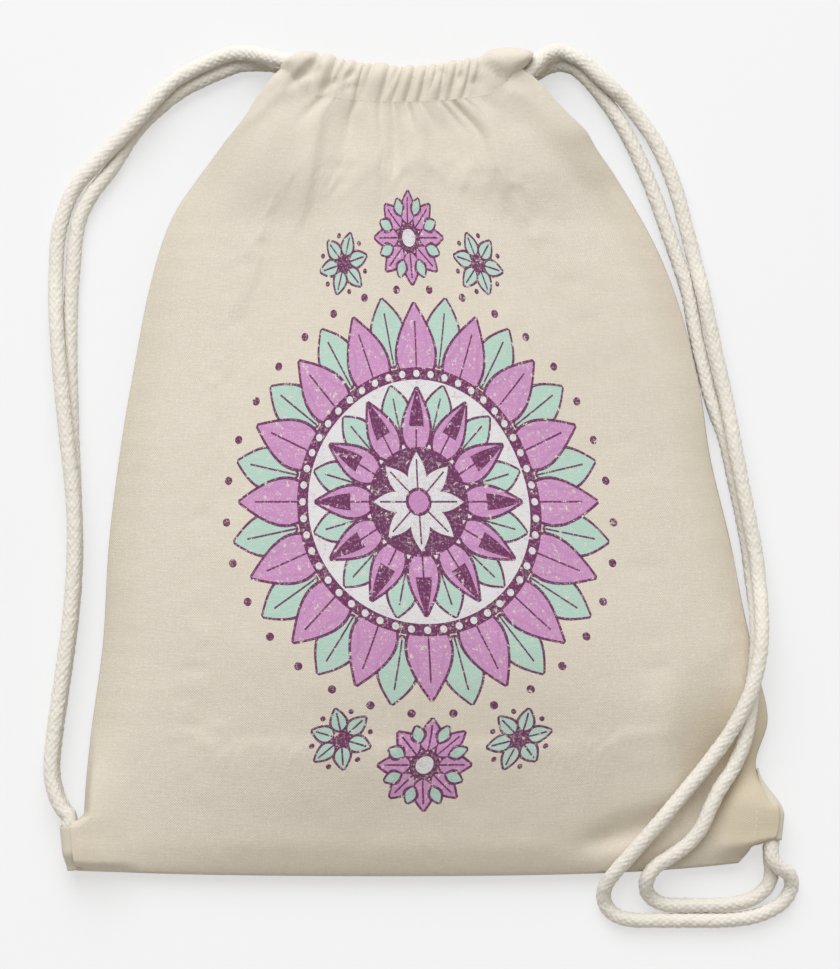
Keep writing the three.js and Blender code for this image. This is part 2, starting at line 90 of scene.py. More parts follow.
def add_lamp(name, kind, energy, tint, stands_at):
    """A lamp that shines on the origin from where it stands."""
    data = bpy.data.lights.new(name, kind)
    data.energy, data.color = energy, tint
    lamp = add_object(name, data)
    lamp.location = stands_at
    lamp.rotation_mode = "QUATERNION"
    lamp.rotation_quaternion = Vector(stands_at).to_track_quat("Z", "Y")
    return data


def partly_seen(tree, lit, seen, share):
    """A shader that the camera, and no other ray, sees by a share as another."""
    ray = tree.nodes.new("ShaderNodeLightPath")
    part = tree.nodes.new("ShaderNodeMath")
    part.operation = "MULTIPLY"
    part.inputs[1].default_value = share
    tree.links.new(ray.outputs["Is Camera Ray"], part.inputs[0])
    mix = tree.nodes.new("ShaderNodeMixShader")
    for socket, node in zip(mix.inputs, (part, lit, seen)):
        tree.links.new(node.outputs[0], socket)
    return mix.outputs[0]


add_lamp("soft_lamp", "SUN", LAMP_STRENGTH, LAMP_TINT, LAMP_FROM).angle = LAMP_SPREAD
add_lamp("near_lamp", "AREA", NEAR_LAMP_WATTS, NEAR_LAMP_TINT, NEAR_LAMP_AT).size = NEAR_LAMP_SIZE
scene.view_settings.view_transform = "Standard"

scene.world = bpy.data.worlds.new("pale_room")
scene.world.use_nodes = True
room = scene.world.node_tree
room_light = room.nodes["Background"]
room_light.inputs["Color"].default_value = ROOM_TINT
room_light.inputs["Strength"].default_value = ROOM_STRENGTH
seen_room = room.nodes.new("ShaderNodeBackground")
seen_room.inputs["Color"].default_value = BACKDROP
room_mix = partly_seen(room, room_light, seen_room, 1.0)
room.links.new(room_mix, room.nodes["World Output"].inputs["Surface"])


# The floor. A wide matt sheet in the backdrop's own colour, just under the bag. The camera sees its
# shadows at about a third of their depth, as on a lit table.
FLOOR_HALF = 6.0
FLOOR_LEVEL = -0.0003
FLOOR_PAINT = (0.865, 0.865, 0.868, 1)
FLOOR_GLOW = 0.64  # share of the floor's brightness that no shadow takes away

floor_mesh = bpy.data.meshes.new("floor")
floor_mesh.from_pydata(
    [(x * FLOOR_HALF, y * FLOOR_HALF, FLOOR_LEVEL) for x, y in ((-1, -1), (1, -1), (1, 1), (-1, 1))],
    [],
    [(0, 1, 2, 3)],
)
floor_paint = bpy.data.materials.new("floor_paint")
floor_paint.use_nodes = True
floor_shader = floor_paint.node_tree.nodes["Principled BSDF"]
floor_shader.inputs["Base Color"].default_value = FLOOR_PAINT
floor_shader.inputs["Roughness"].default_value = 1.0
floor_shader.inputs["Specular IOR Level"].default_value = 0.0
floor_tree = floor_paint.node_tree
floor_glow = floor_tree.nodes.new("ShaderNodeEmission")
floor_glow.inputs["Color"].default_value = BACKDROP
floor_mix = partly_seen(floor_tree, floor_shader, floor_glow, FLOOR_GLOW)
floor_tree.links.new(floor_mix, floor_tree.nodes["Material Output"].inputs["Surface"])
floor_mesh.materials.append(floor_paint)
floor = add_object("floor", floor_mesh)


# The cord's finish: soft bleached cotton yarn, braided, with painted shade that darkens the hollows
# between its strands and leaves their crowns pale, with a little fluff and uneven dye.
COTTON = {"Roughness": 0.94, "Specular_IOR_Level": 0.12, "Sheen_Weight": 0.12, "Sheen_Roughness": 0.6}
YARN = {
    # painted shade in the braid's hollows, then the yarn on its crowns
    "hollow": (0.690, 0.640, 0.555, 1),
    "raised": (0.818, 0.773, 0.694, 1),
    "dull": (0.740, 0.685, 0.595, 1),
    "fluff": (0.930, 0.905, 0.860, 1),
}
CROWN_POWER = 0.55  # below 1, the hollows are narrow
DULL_MOST = 0.32


def feed(tree, socket, value):
    """Gives a socket another node's output or a plain value."""
    if isinstance(value, bpy.types.NodeSocket):
        tree.links.new(value, socket)
    else:
        socket.default_value = value


def tie(tree, node, **inputs):
    """Sets a node's inputs by name."""
    for label, value in inputs.items():
        feed(tree, node.inputs[label.replace("_", " ")], value)
    return node


def add_node(tree, kind, **inputs):
    """A new node with its inputs set by name."""
    return tie(tree, tree.nodes.new(kind), **inputs)


def attribute(tree, name):
    """A node that reads an attribute of the mesh."""
    node = tree.nodes.new("ShaderNodeAttribute")
    node.attribute_name = name
    return node


def calc(tree, operation, *values, clamp=False):
    """One step of arithmetic in a node tree."""
    node = tree.nodes.new("ShaderNodeMath")
    node.operation = operation
    node.use_clamp = clamp
    for socket, value in zip(node.inputs, values):
        feed(tree, socket, value)
    return node.outputs[0]


def above(tree, value, least, gain):
    """How far a value is above the least, times a gain, from 0 to 1."""
    over = calc(tree, "SUBTRACT", value, least, clamp=True)
    return calc(tree, "MULTIPLY", over, gain, clamp=True)


def stain(tree, share, under, over):
    """The colour over laid on the colour under, by a share."""
    node = tree.nodes.new("ShaderNodeMix")
    node.data_type = "RGBA"
    for i, value in ((0, share), (6, under), (7, over)):
        feed(tree, node.inputs[i], value)
    return node.outputs[2]


def grain(tree, place, stretch, detail=2.0, roughness=0.5):
    """Noise on a place, with its three scales, from 0 to 1."""
    spot = add_node(tree, "ShaderNodeMapping", Vector=place, Scale=stretch).outputs[0]
    node = tree.nodes.new("ShaderNodeTexNoise")
    return tie(tree, node, Vector=spot, Scale=1.0, Detail=detail, Roughness=roughness).outputs[0]


def cotton(name):
    """A matt, slightly downy material to build on: its tree and its shader."""
    material = bpy.data.materials.new(name)
    material.use_nodes = True
    shader = material.node_tree.nodes["Principled BSDF"]
    return material, material.node_tree, tie(material.node_tree, shader, **COTTON)


def shade(tree, shader, colour, height, strength, distance):
    """Lays a colour and a fine relief on a shader."""
    bump = add_node(tree, "ShaderNodeBump", Height=height, Strength=strength, Distance=distance)
    tie(tree, shader, Base_Color=colour, Normal=bump.outputs[0])


def cord_yarn():
    material, tree, shader = cotton("cord_yarn")
    crown = attribute(tree, "braid").outputs["Fac"]
    place = attribute(tree, "rope").outputs["Vector"]
    uneven = grain(tree, place, (90, 90, 40), detail=3)
    fluff = grain(tree, place, (900, 900, 520), detail=4, roughness=0.65)
    # Painted shade: the yarn is darker towards the hollows between the strands.
    colour = stain(tree, calc(tree, "POWER", crown, CROWN_POWER), YARN["hollow"], YARN["raised"])
    colour = stain(tree, calc(tree, "MULTIPLY", uneven, DULL_MOST), colour, YARN["dull"])
    colour = stain(tree, above(tree, fluff, 0.52, 1.6), colour, YARN["fluff"])
    shade(tree, shader, colour, fluff, strength=0.8, distance=0.0006)
    return material


# The cords: two long strands a side, braided from cotton. Each comes out of an end of the tunnel
# hem, lies on the floor beside the bag as a shoulder strap and ends in the loop at a bottom corner.
CORD = 0.0075  # diameter
CORD_STEP = 0.0007  # between rings of the mesh
CORD_AROUND = 44
BRAID_STRANDS = 8
BRAID_PITCH = 0.0040
BRAID_RELIEF = 0.00042
BRAID_SWAY = 1.7  # how unevenly the strands lie, in radians
YARN_LUMPS = 0.0011  # height of the soft lumps in the yarn
LUMPS_PER_METRE = 330
SWAY_SCALE = 0.4  # of that
STRAND_POWER = 0.6  # below 1, the strands are round on top
STRAND_MEAN = 0.55  # level of the braid that lies on the cord's radius

LEFT_FRONT = {
    "lead": [
        (-0.05267, 0.20439, 0.02415), (-0.0600, 0.2057, 0.0241), (-0.0700, 0.2090, 0.0224),
        (-0.0785, 0.2115, 0.0172), (-0.0845, 0.2132, 0.0124), (-0.0890, 0.2140, 0.0103),
        (-0.0925, 0.2141, 0.0099),
    ],
    "strap": [
        (-0.0970, 0.2140, 0.0096), (-0.1045, 0.2119, 0.0094), (-0.1133, 0.2079, 0.0092),
        (-0.1267, 0.2005, 0.0098), (-0.1390, 0.1882, 0.0114), (-0.1488, 0.1768, 0.0117),
        (-0.1648, 0.1602, 0.0079), (-0.1797, 0.1438, 0.0045), (-0.1869, 0.1243, 0.0040),
        (-0.1888, 0.1021, 0.0044), (-0.1880, 0.0717, 0.0093), (-0.1838, 0.0257, 0.0114),
        (-0.1794, -0.0158, 0.0118), (-0.1790, -0.0467, 0.0118), (-0.1813, -0.0776, 0.0118),
        (-0.1854, -0.1085, 0.0118), (-0.1893, -0.1363, 0.0119), (-0.1908, -0.1553, 0.0122),
        (-0.1884, -0.1673, 0.0126), (-0.1846, -0.1751, 0.0129),
    ],
    "tab": [
        (-0.18179, -0.17828, 0.01295), (-0.18132, -0.18326, 0.01295), (-0.17999, -0.1972, 0.01295),
    ],
}
LEFT_BACK = {
    "lead": [
        (-0.05267, 0.20439, 0.00605), (-0.0600, 0.2057, 0.0056), (-0.0720, 0.2079, 0.0046),
        (-0.0820, 0.2090, 0.0040), (-0.0880, 0.2091, 0.0039), (-0.0911, 0.2090, 0.0039),
    ],
    "strap": [
        (-0.0950, 0.2084, 0.0039), (-0.1010, 0.2061, 0.0039), (-0.1087, 0.2029, 0.0039),
        (-0.1236, 0.1955, 0.0039), (-0.1370, 0.1852, 0.0039), (-0.1472, 0.1749, 0.0039),
        (-0.1600, 0.1552, 0.0039), (-0.1710, 0.1407, 0.0039), (-0.1772, 0.1267, 0.0039),
        (-0.1801, 0.1021, 0.0039), (-0.1815, 0.0717, 0.0039), (-0.1808, 0.0257, 0.0039),
        (-0.1792, -0.0158, 0.0039), (-0.1786, -0.0467, 0.0039), (-0.1808, -0.0776, 0.0039),
        (-0.1849, -0.1085, 0.0039), (-0.1888, -0.1363, 0.0040), (-0.1903, -0.1553, 0.0044),
        (-0.1880, -0.1673, 0.0048), (-0.1844, -0.1751, 0.0051),
    ],
    "tab": [
        (-0.18179, -0.17828, 0.00515), (-0.18132, -0.18326, 0.00515), (-0.17999, -0.1972, 0.00515),
    ],
}
RIGHT_FRONT = {
    "lead": [
        (0.03793, 0.19669, 0.02415), (0.0440, 0.1979, 0.0240), (0.0515, 0.2008, 0.0226),
        (0.0580, 0.2076, 0.0194), (0.0635, 0.2129, 0.0148), (0.0690, 0.2150, 0.0112),
        (0.0732, 0.2147, 0.0100), (0.0763, 0.2133, 0.0099),
    ],
    "strap": [
        (0.0800, 0.2118, 0.0099), (0.0840, 0.2090, 0.0100), (0.0917, 0.2015, 0.0101),
        (0.0985, 0.1956, 0.0088), (0.1048, 0.1897, 0.0056), (0.1115, 0.1817, 0.0042),
        (0.1185, 0.1722, 0.0039), (0.1250, 0.1598, 0.0039), (0.1313, 0.1433, 0.0039),
        (0.1362, 0.1253, 0.0039), (0.1409, 0.1067, 0.0044), (0.1448, 0.0903, 0.0080),
        (0.1498, 0.0667, 0.0082), (0.1566, 0.0357, 0.0088), (0.1603, 0.0151, 0.0110),
        (0.1643, -0.0055, 0.0113), (0.1684, -0.0261, 0.0114), (0.1716, -0.0431, 0.0113),
    ],
    "tail": [
        (0.1732, -0.0583, 0.0132), (0.1740, -0.0723, 0.0182), (0.1738, -0.0863, 0.0220),
        (0.1720, -0.1003, 0.0230), (0.1683, -0.1133, 0.0237), (0.1626, -0.1263, 0.0226),
        (0.1545, -0.1398, 0.0204), (0.1450, -0.1523, 0.0204), (0.1340, -0.1658, 0.0213),
        (0.1228, -0.1793, 0.0208), (0.1130, -0.1908, 0.0189), (0.1045, -0.2007, 0.0166),
        (0.0985, -0.2078, 0.0140), (0.0948, -0.2138, 0.0104), (0.0935, -0.2193, 0.0068),
        (0.0955, -0.2258, 0.0044), (0.1005, -0.2303, 0.0039), (0.1080, -0.2323, 0.0039),
        (0.1220, -0.2327, 0.0039), (0.1396, -0.2327, 0.0039), (0.1580, -0.2325, 0.0039),
        (0.1740, -0.2299, 0.0039), (0.1860, -0.2233, 0.0039), (0.1906, -0.2153, 0.0048),
        (0.1890, -0.2085, 0.0084), (0.1840, -0.2047, 0.0114), (0.1805, -0.2007, 0.0128),
    ],
    "tab": [
        (0.17957, -0.19487, 0.01295), (0.18009, -0.1899, 0.01295), (0.18153, -0.17598, 0.01295),
    ],
}
RIGHT_BACK = {
    "lead": [
        (0.03793, 0.19669, 0.00605), (0.0440, 0.1979, 0.0058), (0.0515, 0.2001, 0.0052),
        (0.0590, 0.2042, 0.0046), (0.0660, 0.2079, 0.0041), (0.0723, 0.2090, 0.0039),
        (0.0753, 0.2082, 0.0039),
    ],
    "strap": [
        (0.0790, 0.2069, 0.0039), (0.0880, 0.1984, 0.0039), (0.0989, 0.1840, 0.0039),
        (0.1066, 0.1711, 0.0039), (0.1138, 0.1562, 0.0039), (0.1210, 0.1387, 0.0039),
        (0.1274, 0.1207, 0.0039), (0.1324, 0.1067, 0.0039), (0.1375, 0.0903, 0.0039),
        (0.1419, 0.0667, 0.0039), (0.1494, 0.0357, 0.0039), (0.1566, 0.0151, 0.0039),
        (0.1612, -0.0055, 0.0039), (0.1656, -0.0261, 0.0039), (0.1686, -0.0431, 0.0039),
    ],
    "tail": [
        (0.1704, -0.0583, 0.0048), (0.1719, -0.0723, 0.0095), (0.1723, -0.0863, 0.0134),
        (0.1714, -0.1003, 0.0148), (0.1694, -0.1133, 0.0156), (0.1680, -0.1263, 0.0168),
        (0.1654, -0.1393, 0.0172), (0.1600, -0.1523, 0.0170), (0.1525, -0.1643, 0.0182),
        (0.1475, -0.1743, 0.0184), (0.1430, -0.1843, 0.0176), (0.1364, -0.1923, 0.0166),
        (0.1283, -0.1983, 0.0154), (0.1202, -0.2039, 0.0144), (0.1162, -0.2093, 0.0132),
        (0.1152, -0.2137, 0.0104), (0.1160, -0.2177, 0.0070), (0.1189, -0.2213, 0.0049),
        (0.1230, -0.2237, 0.0039), (0.1280, -0.2247, 0.0039), (0.1420, -0.2249, 0.0039),
        (0.1570, -0.2245, 0.0039), (0.1700, -0.2216, 0.0039), (0.1780, -0.2153, 0.0039),
        (0.1803, -0.2083, 0.0042), (0.1798, -0.2013, 0.0049),
    ],
    "tab": [
        (0.17957, -0.19487, 0.00515), (0.18009, -0.1899, 0.00515), (0.18153, -0.17598, 0.00515),
    ],
}


def smooth_route(points, per_stretch=14):
    """A centripetal curve through given points, as a close row of points."""
    p = np.array(points, float)
    p = np.vstack([2 * p[0] - p[1], p, 2 * p[-1] - p[-2]])
    u = np.linspace(0, 1, per_stretch, endpoint=False)[:, None]
    row = []
    for a, b, c, d in zip(p, p[1:], p[2:], p[3:]):
        t0, t1, t2 = (np.linalg.norm(q - r) ** 0.5 for q, r in ((b, a), (c, b), (d, c)))
        out = ((b - a) / t0 - (c - a) / (t0 + t1) + (c - b) / t1) * t1
        into = ((c - b) / t1 - (d - b) / (t1 + t2) + (d - c) / t2) * t1
        row.append(
            b + out * u + (3 * (c - b) - 2 * out - into) * u**2 + (2 * (b - c) + out + into) * u**3
        )
    return np.vstack(row + [p[-2][None]])


def lengths_along(route):
    steps = np.linalg.norm(np.diff(route, axis=0), axis=1)
    return np.concatenate([[0], np.cumsum(steps)])


def smoothstep(x, low, high):
    u = np.clip((x - low) / (high - low), 0, 1)
    return u * u * (3 - 2 * u)


def new_tree(name, inputs, output):
    """An empty geometry tree: the tree, its inputs' sockets by name and its output node."""
    tree = bpy.data.node_groups.new(name, "GeometryNodeTree")
    for label, kind in inputs.items():
        tree.interface.new_socket(label, in_out="INPUT", socket_type=f"NodeSocket{kind}")
    tree.interface.new_socket(output, in_out="OUTPUT", socket_type="NodeSocketGeometry")
    given = tree.nodes.new("NodeGroupInput")
    result = tree.nodes.new("NodeGroupOutput")
    return tree, {label: given.outputs[label] for label in inputs}, result


def captured(tree, curve, measure):
    """A curve that keeps a measure of the way along it at its points, and that measure."""
    node = tree.nodes.new("GeometryNodeCaptureAttribute")
    node.capture_items.new("FLOAT", measure)
    way = tree.nodes.new("GeometryNodeSplineParameter")
    tree.links.new(curve.outputs[0], node.inputs[0])
    tree.links.new(way.outputs[measure], node.inputs[1])
    return node.outputs[0], node.outputs[1]


def end_tree(tree, result, geometry, material):
    """Ends a tree with real geometry, smooth and in its material."""
    whole = add_node(tree, "GeometryNodeRealizeInstances", Geometry=geometry)
    smooth = tree.nodes.new("GeometryNodeSetShadeSmooth")
    tree.links.new(whole.outputs[0], smooth.inputs[0])
    dyed = add_node(tree, "GeometryNodeSetMaterial", Geometry=smooth.outputs[0], Material=material)
    tree.links.new(dyed.outputs[0], result.inputs[0])


def braided_cord_tree():
    sizes = ("Radius", "Step", "Pitch", "Relief", "Sway", "Lumps", "Lumps per metre", "Starts at")
    inputs = {"Path": "Geometry", "Around": "Int", "Strands": "Int", "Yarn": "Material"}
    tree, given, result = new_tree("Braided cord", inputs | dict.fromkeys(sizes, "Float"), "Cord")
    radius = given["Radius"]
    rings = tree.nodes.new("GeometryNodeResampleCurve")
    rings.mode = "LENGTH"
    tie(tree, rings, Curve=given["Path"], Length=given["Step"])
    section = tree.nodes.new("GeometryNodeCurvePrimitiveCircle")
    tie(tree, section, Resolution=given["Around"], Radius=radius)
    path, down = captured(tree, rings, "Length")
    circle, around = captured(tree, section, "Factor")
    tube = tree.nodes.new("GeometryNodeCurveToMesh")
    tie(tree, tube, Curve=path, Profile_Curve=circle, Fill_Caps=True)

    angle = calc(tree, "MULTIPLY", around, 2 * math.pi)
    place = calc(tree, "ADD", down, given["Starts at"])
    wound = calc(tree, "MULTIPLY", angle, calc(tree, "MULTIPLY", given["Strands"], 0.5))
    climbed = calc(tree, "MULTIPLY", calc(tree, "DIVIDE", place, given["Pitch"]), math.pi)
    unrolled = add_node(
        tree,
        "ShaderNodeCombineXYZ",
        X=calc(tree, "MULTIPLY", calc(tree, "COSINE", angle), radius),
        Y=calc(tree, "MULTIPLY", calc(tree, "SINE", angle), radius),
        Z=place,
    ).outputs[0]

    def uneven(scale, detail, most):
        """Noise over the cord's surface, both ways from 0."""
        spots = add_node(tree, "ShaderNodeTexNoise", Vector=unrolled, Scale=scale, Detail=detail)
        return calc(tree, "MULTIPLY", calc(tree, "SUBTRACT", spots.outputs[0], 0.5), most)

    fineness = given["Lumps per metre"]
    sway = uneven(calc(tree, "MULTIPLY", fineness, SWAY_SCALE), 1.0, given["Sway"])
    lump = uneven(fineness, 2.0, given["Lumps"])
    one_way = calc(tree, "ADD", calc(tree, "ADD", wound, climbed), sway)
    other_way = calc(tree, "SUBTRACT", calc(tree, "SUBTRACT", wound, climbed), sway)
    crossing = calc(tree, "MULTIPLY", calc(tree, "COSINE", one_way), calc(tree, "COSINE", other_way))
    strand = calc(tree, "POWER", calc(tree, "ABSOLUTE", crossing), STRAND_POWER)
    over_mean = calc(tree, "SUBTRACT", strand, STRAND_MEAN)
    height = calc(tree, "MULTIPLY_ADD", over_mean, given["Relief"], lump)
    lift = tree.nodes.new("ShaderNodeVectorMath")
    lift.operation = "SCALE"
    tie(tree, lift, Vector=tree.nodes.new("GeometryNodeInputNormal").outputs[0], Scale=height)
    raised = tree.nodes.new("GeometryNodeSetPosition")
    tie(tree, raised, Geometry=tube.outputs[0], Offset=lift.outputs[0])

    braid = tree.nodes.new("GeometryNodeStoreNamedAttribute")
    tie(tree, braid, Geometry=raised.outputs[0], Name="braid", Value=strand)
    rope = tree.nodes.new("GeometryNodeStoreNamedAttribute")
    rope.data_type = "FLOAT_VECTOR"
    tie(tree, rope, Geometry=braid.outputs[0], Name="rope", Value=unrolled)
    end_tree(tree, result, rope.outputs[0], given["Yarn"])
    return tree


def line_object(name, routes):
    """A curve object of open lines, for a tree to work on."""
    curve = bpy.data.curves.new(name, "CURVE")
    curve.dimensions = "3D"
    for route in routes:
        spline = curve.splines.new("POLY")
        spline.points.add(len(route) - 1)
        spline.points.foreach_set("co", np.hstack([route, np.ones((len(route), 1))]).ravel())
    return add_object(name, curve)


def made_by(tree, source, settings, name):
    """What a tree makes of a source object, as a plain mesh object in its place."""
    modifier = source.modifiers.new(tree.name, "NODES")
    modifier.node_group = tree
    socket = {item.name: item.identifier for item in tree.interface.items_tree}
    for label, value in settings.items():
        modifier[socket[label]] = value
    mesh = bpy.data.meshes.new_from_object(source.evaluated_get(bpy.context.evaluated_depsgraph_get()))
    source.modifiers.remove(modifier)
    bpy.data.objects.remove(source)
    mesh.name = name
    return add_object(name, mesh)


braid_tree = braided_cord_tree()
yarn = cord_yarn()


def braid(name, routes, starts_at=0.0, step=CORD_STEP):
    settings = {
        "Radius": CORD / 2,
        "Step": step,
        "Around": CORD_AROUND,
        "Strands": BRAID_STRANDS,
        "Pitch": BRAID_PITCH,
        "Relief": BRAID_RELIEF,
        "Sway": BRAID_SWAY,
        "Lumps": YARN_LUMPS,
        "Lumps per metre": LUMPS_PER_METRE,
        "Starts at": starts_at,
        "Yarn": yarn,
    }
    return made_by(braid_tree, line_object(name, routes), settings, name)


def lengths_down(piece):
    """How far along its strand each point of a braided piece lies."""
    rope = piece.data.attributes["rope"].data
    values = np.zeros(len(rope) * 3, np.float32)
    rope.foreach_get("vector", values)
    return values[2::3]


def share_motion(piece):
    """Bakes the piece's placement into its mesh."""
    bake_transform(piece)


def call_cord(side, hem, nodes):
    """Hides the solids that a piece of cord stands in for."""
    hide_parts(*(f"{side}_cord_{hem}_{node}" for node in nodes))


def add_cord(side, hem, strand):
    """One strand: its lead and strap, and its tail as a piece of its own where it has one."""
    name = f"{side}_{hem}_cord"
    route = smooth_route([*strand["lead"], *strand["strap"], *strand.get("tail", []), *strand["tab"]])
    run = lengths_along(route)

    def length_at(point):
        return run[np.argmin(np.linalg.norm(route - np.array(point), axis=1))]

    strap_from, strap_to = length_at(strand["lead"][-1]), length_at(strand["strap"][-1])
    cut = len(route) - 1
    nodes = ["lead", "strap", "end"]
    if "tail" in strand:
        cut = int(np.argmin(np.abs(run - strap_to)))
        nodes = ["lead", "strap"]
    piece = braid(name, [route[: cut + 1]])
    at = lengths_down(piece)
    share_motion(piece)
    call_cord(side, hem, nodes)
    if "tail" in strand:
        tail = braid(f"{name}_tail", [route[cut:]], starts_at=run[cut])
        share_motion(tail)
        call_cord(side, hem, ["tail", "end"])
    return route


add_cord("left", "front", LEFT_FRONT)
add_cord("left", "back", LEFT_BACK)
right_routes = [add_cord("right", "front", RIGHT_FRONT), add_cord("right", "back", RIGHT_BACK)]


# The canvas: plain-woven natural cotton, unbleached, with uneven yarns, a few dark seed flecks and a
# broad geometric print in four inks on the front, worn thin and grainy as screen print on canvas is.
THREADS_PER_METRE = 1500
CANVAS = {
    "plain": (0.735, 0.680, 0.587, 1),
    "mottled": (0.703, 0.642, 0.545, 1),
    "thin": (0.664, 0.598, 0.497, 1),
    "down": (0.860, 0.825, 0.760, 1),
    "fleck": (0.400, 0.320, 0.215, 1),
    # the colour of the painted shade
    "painted_shade_tone": (0.500, 0.415, 0.268, 1),
}
INK = {
    "plum": (0.150, 0.036, 0.105, 1),
    "pink": (0.560, 0.268, 0.500, 1),
    "mint": (0.430, 0.620, 0.535, 1),
    "pale": (0.715, 0.705, 0.715, 1),
}
PRINT_MIDDLE = (0.001, 0.197)  # across and up the flat panel
LINE = 0.00085  # printed line, half width
VEIN = 0.0005  # line down the middle of a leaf, half width


def lerp(a, b, share):
    return a + (b - a) * share


def flat_cloth(name):
    """A cotton to weave on: material, tree, shader, and the place on the flat cloth, across and up."""
    material, tree, shader = cotton(name)
    place = attribute(tree, "flat").outputs["Vector"]
    split = add_node(tree, "ShaderNodeSeparateXYZ", Vector=place)
    return material, tree, shader, place, split.outputs[0], split.outputs[1]


def canvas_cloth(name, printed):
    material, tree, shader, place, across, up = flat_cloth(name)
    warp = calc(tree, "SINE", calc(tree, "MULTIPLY", across, math.pi * THREADS_PER_METRE))
    weft = calc(tree, "SINE", calc(tree, "MULTIPLY", up, math.pi * THREADS_PER_METRE))
    weave = calc(tree, "MULTIPLY", warp, weft)
    slub_up = grain(tree, place, (900, 110, 1), detail=3, roughness=0.6)
    slub_across = grain(tree, place, (110, 900, 1), detail=3, roughness=0.6)
    slubs = calc(tree, "ADD", slub_up, slub_across)
    mottle = grain(tree, place, (24, 24, 1), detail=4)
    fuzz = grain(tree, place, (650, 650, 1), detail=3, roughness=0.7)
    seed = grain(tree, place, (420, 420, 1), detail=1)

    colour = stain(tree, mottle, CANVAS["plain"], CANVAS["mottled"])
    colour = stain(tree, above(tree, slubs, 0.78, 1.5), CANVAS["thin"], colour)
    colour = stain(tree, above(tree, fuzz, 0.56, 3.0), colour, CANVAS["down"])
    colour = stain(tree, above(tree, seed, 0.78, 6.0), colour, CANVAS["fleck"])
    # Painted shade, where the front turns from the light or lies in the cords' shadow.
    colour = stain(tree, attribute(tree, "painted_shade").outputs["Fac"], colour, CANVAS["painted_shade_tone"])
    if printed:
        colour = printed_rosette(tree, place, across, up, fuzz, slubs, colour)
    down = calc(tree, "MULTIPLY_ADD", slubs, 0.45, calc(tree, "MULTIPLY", fuzz, 0.6))
    relief = calc(tree, "MULTIPLY_ADD", weave, 0.20, down)
    shade(tree, shader, colour, relief, strength=0.55, distance=0.0005)
    return material


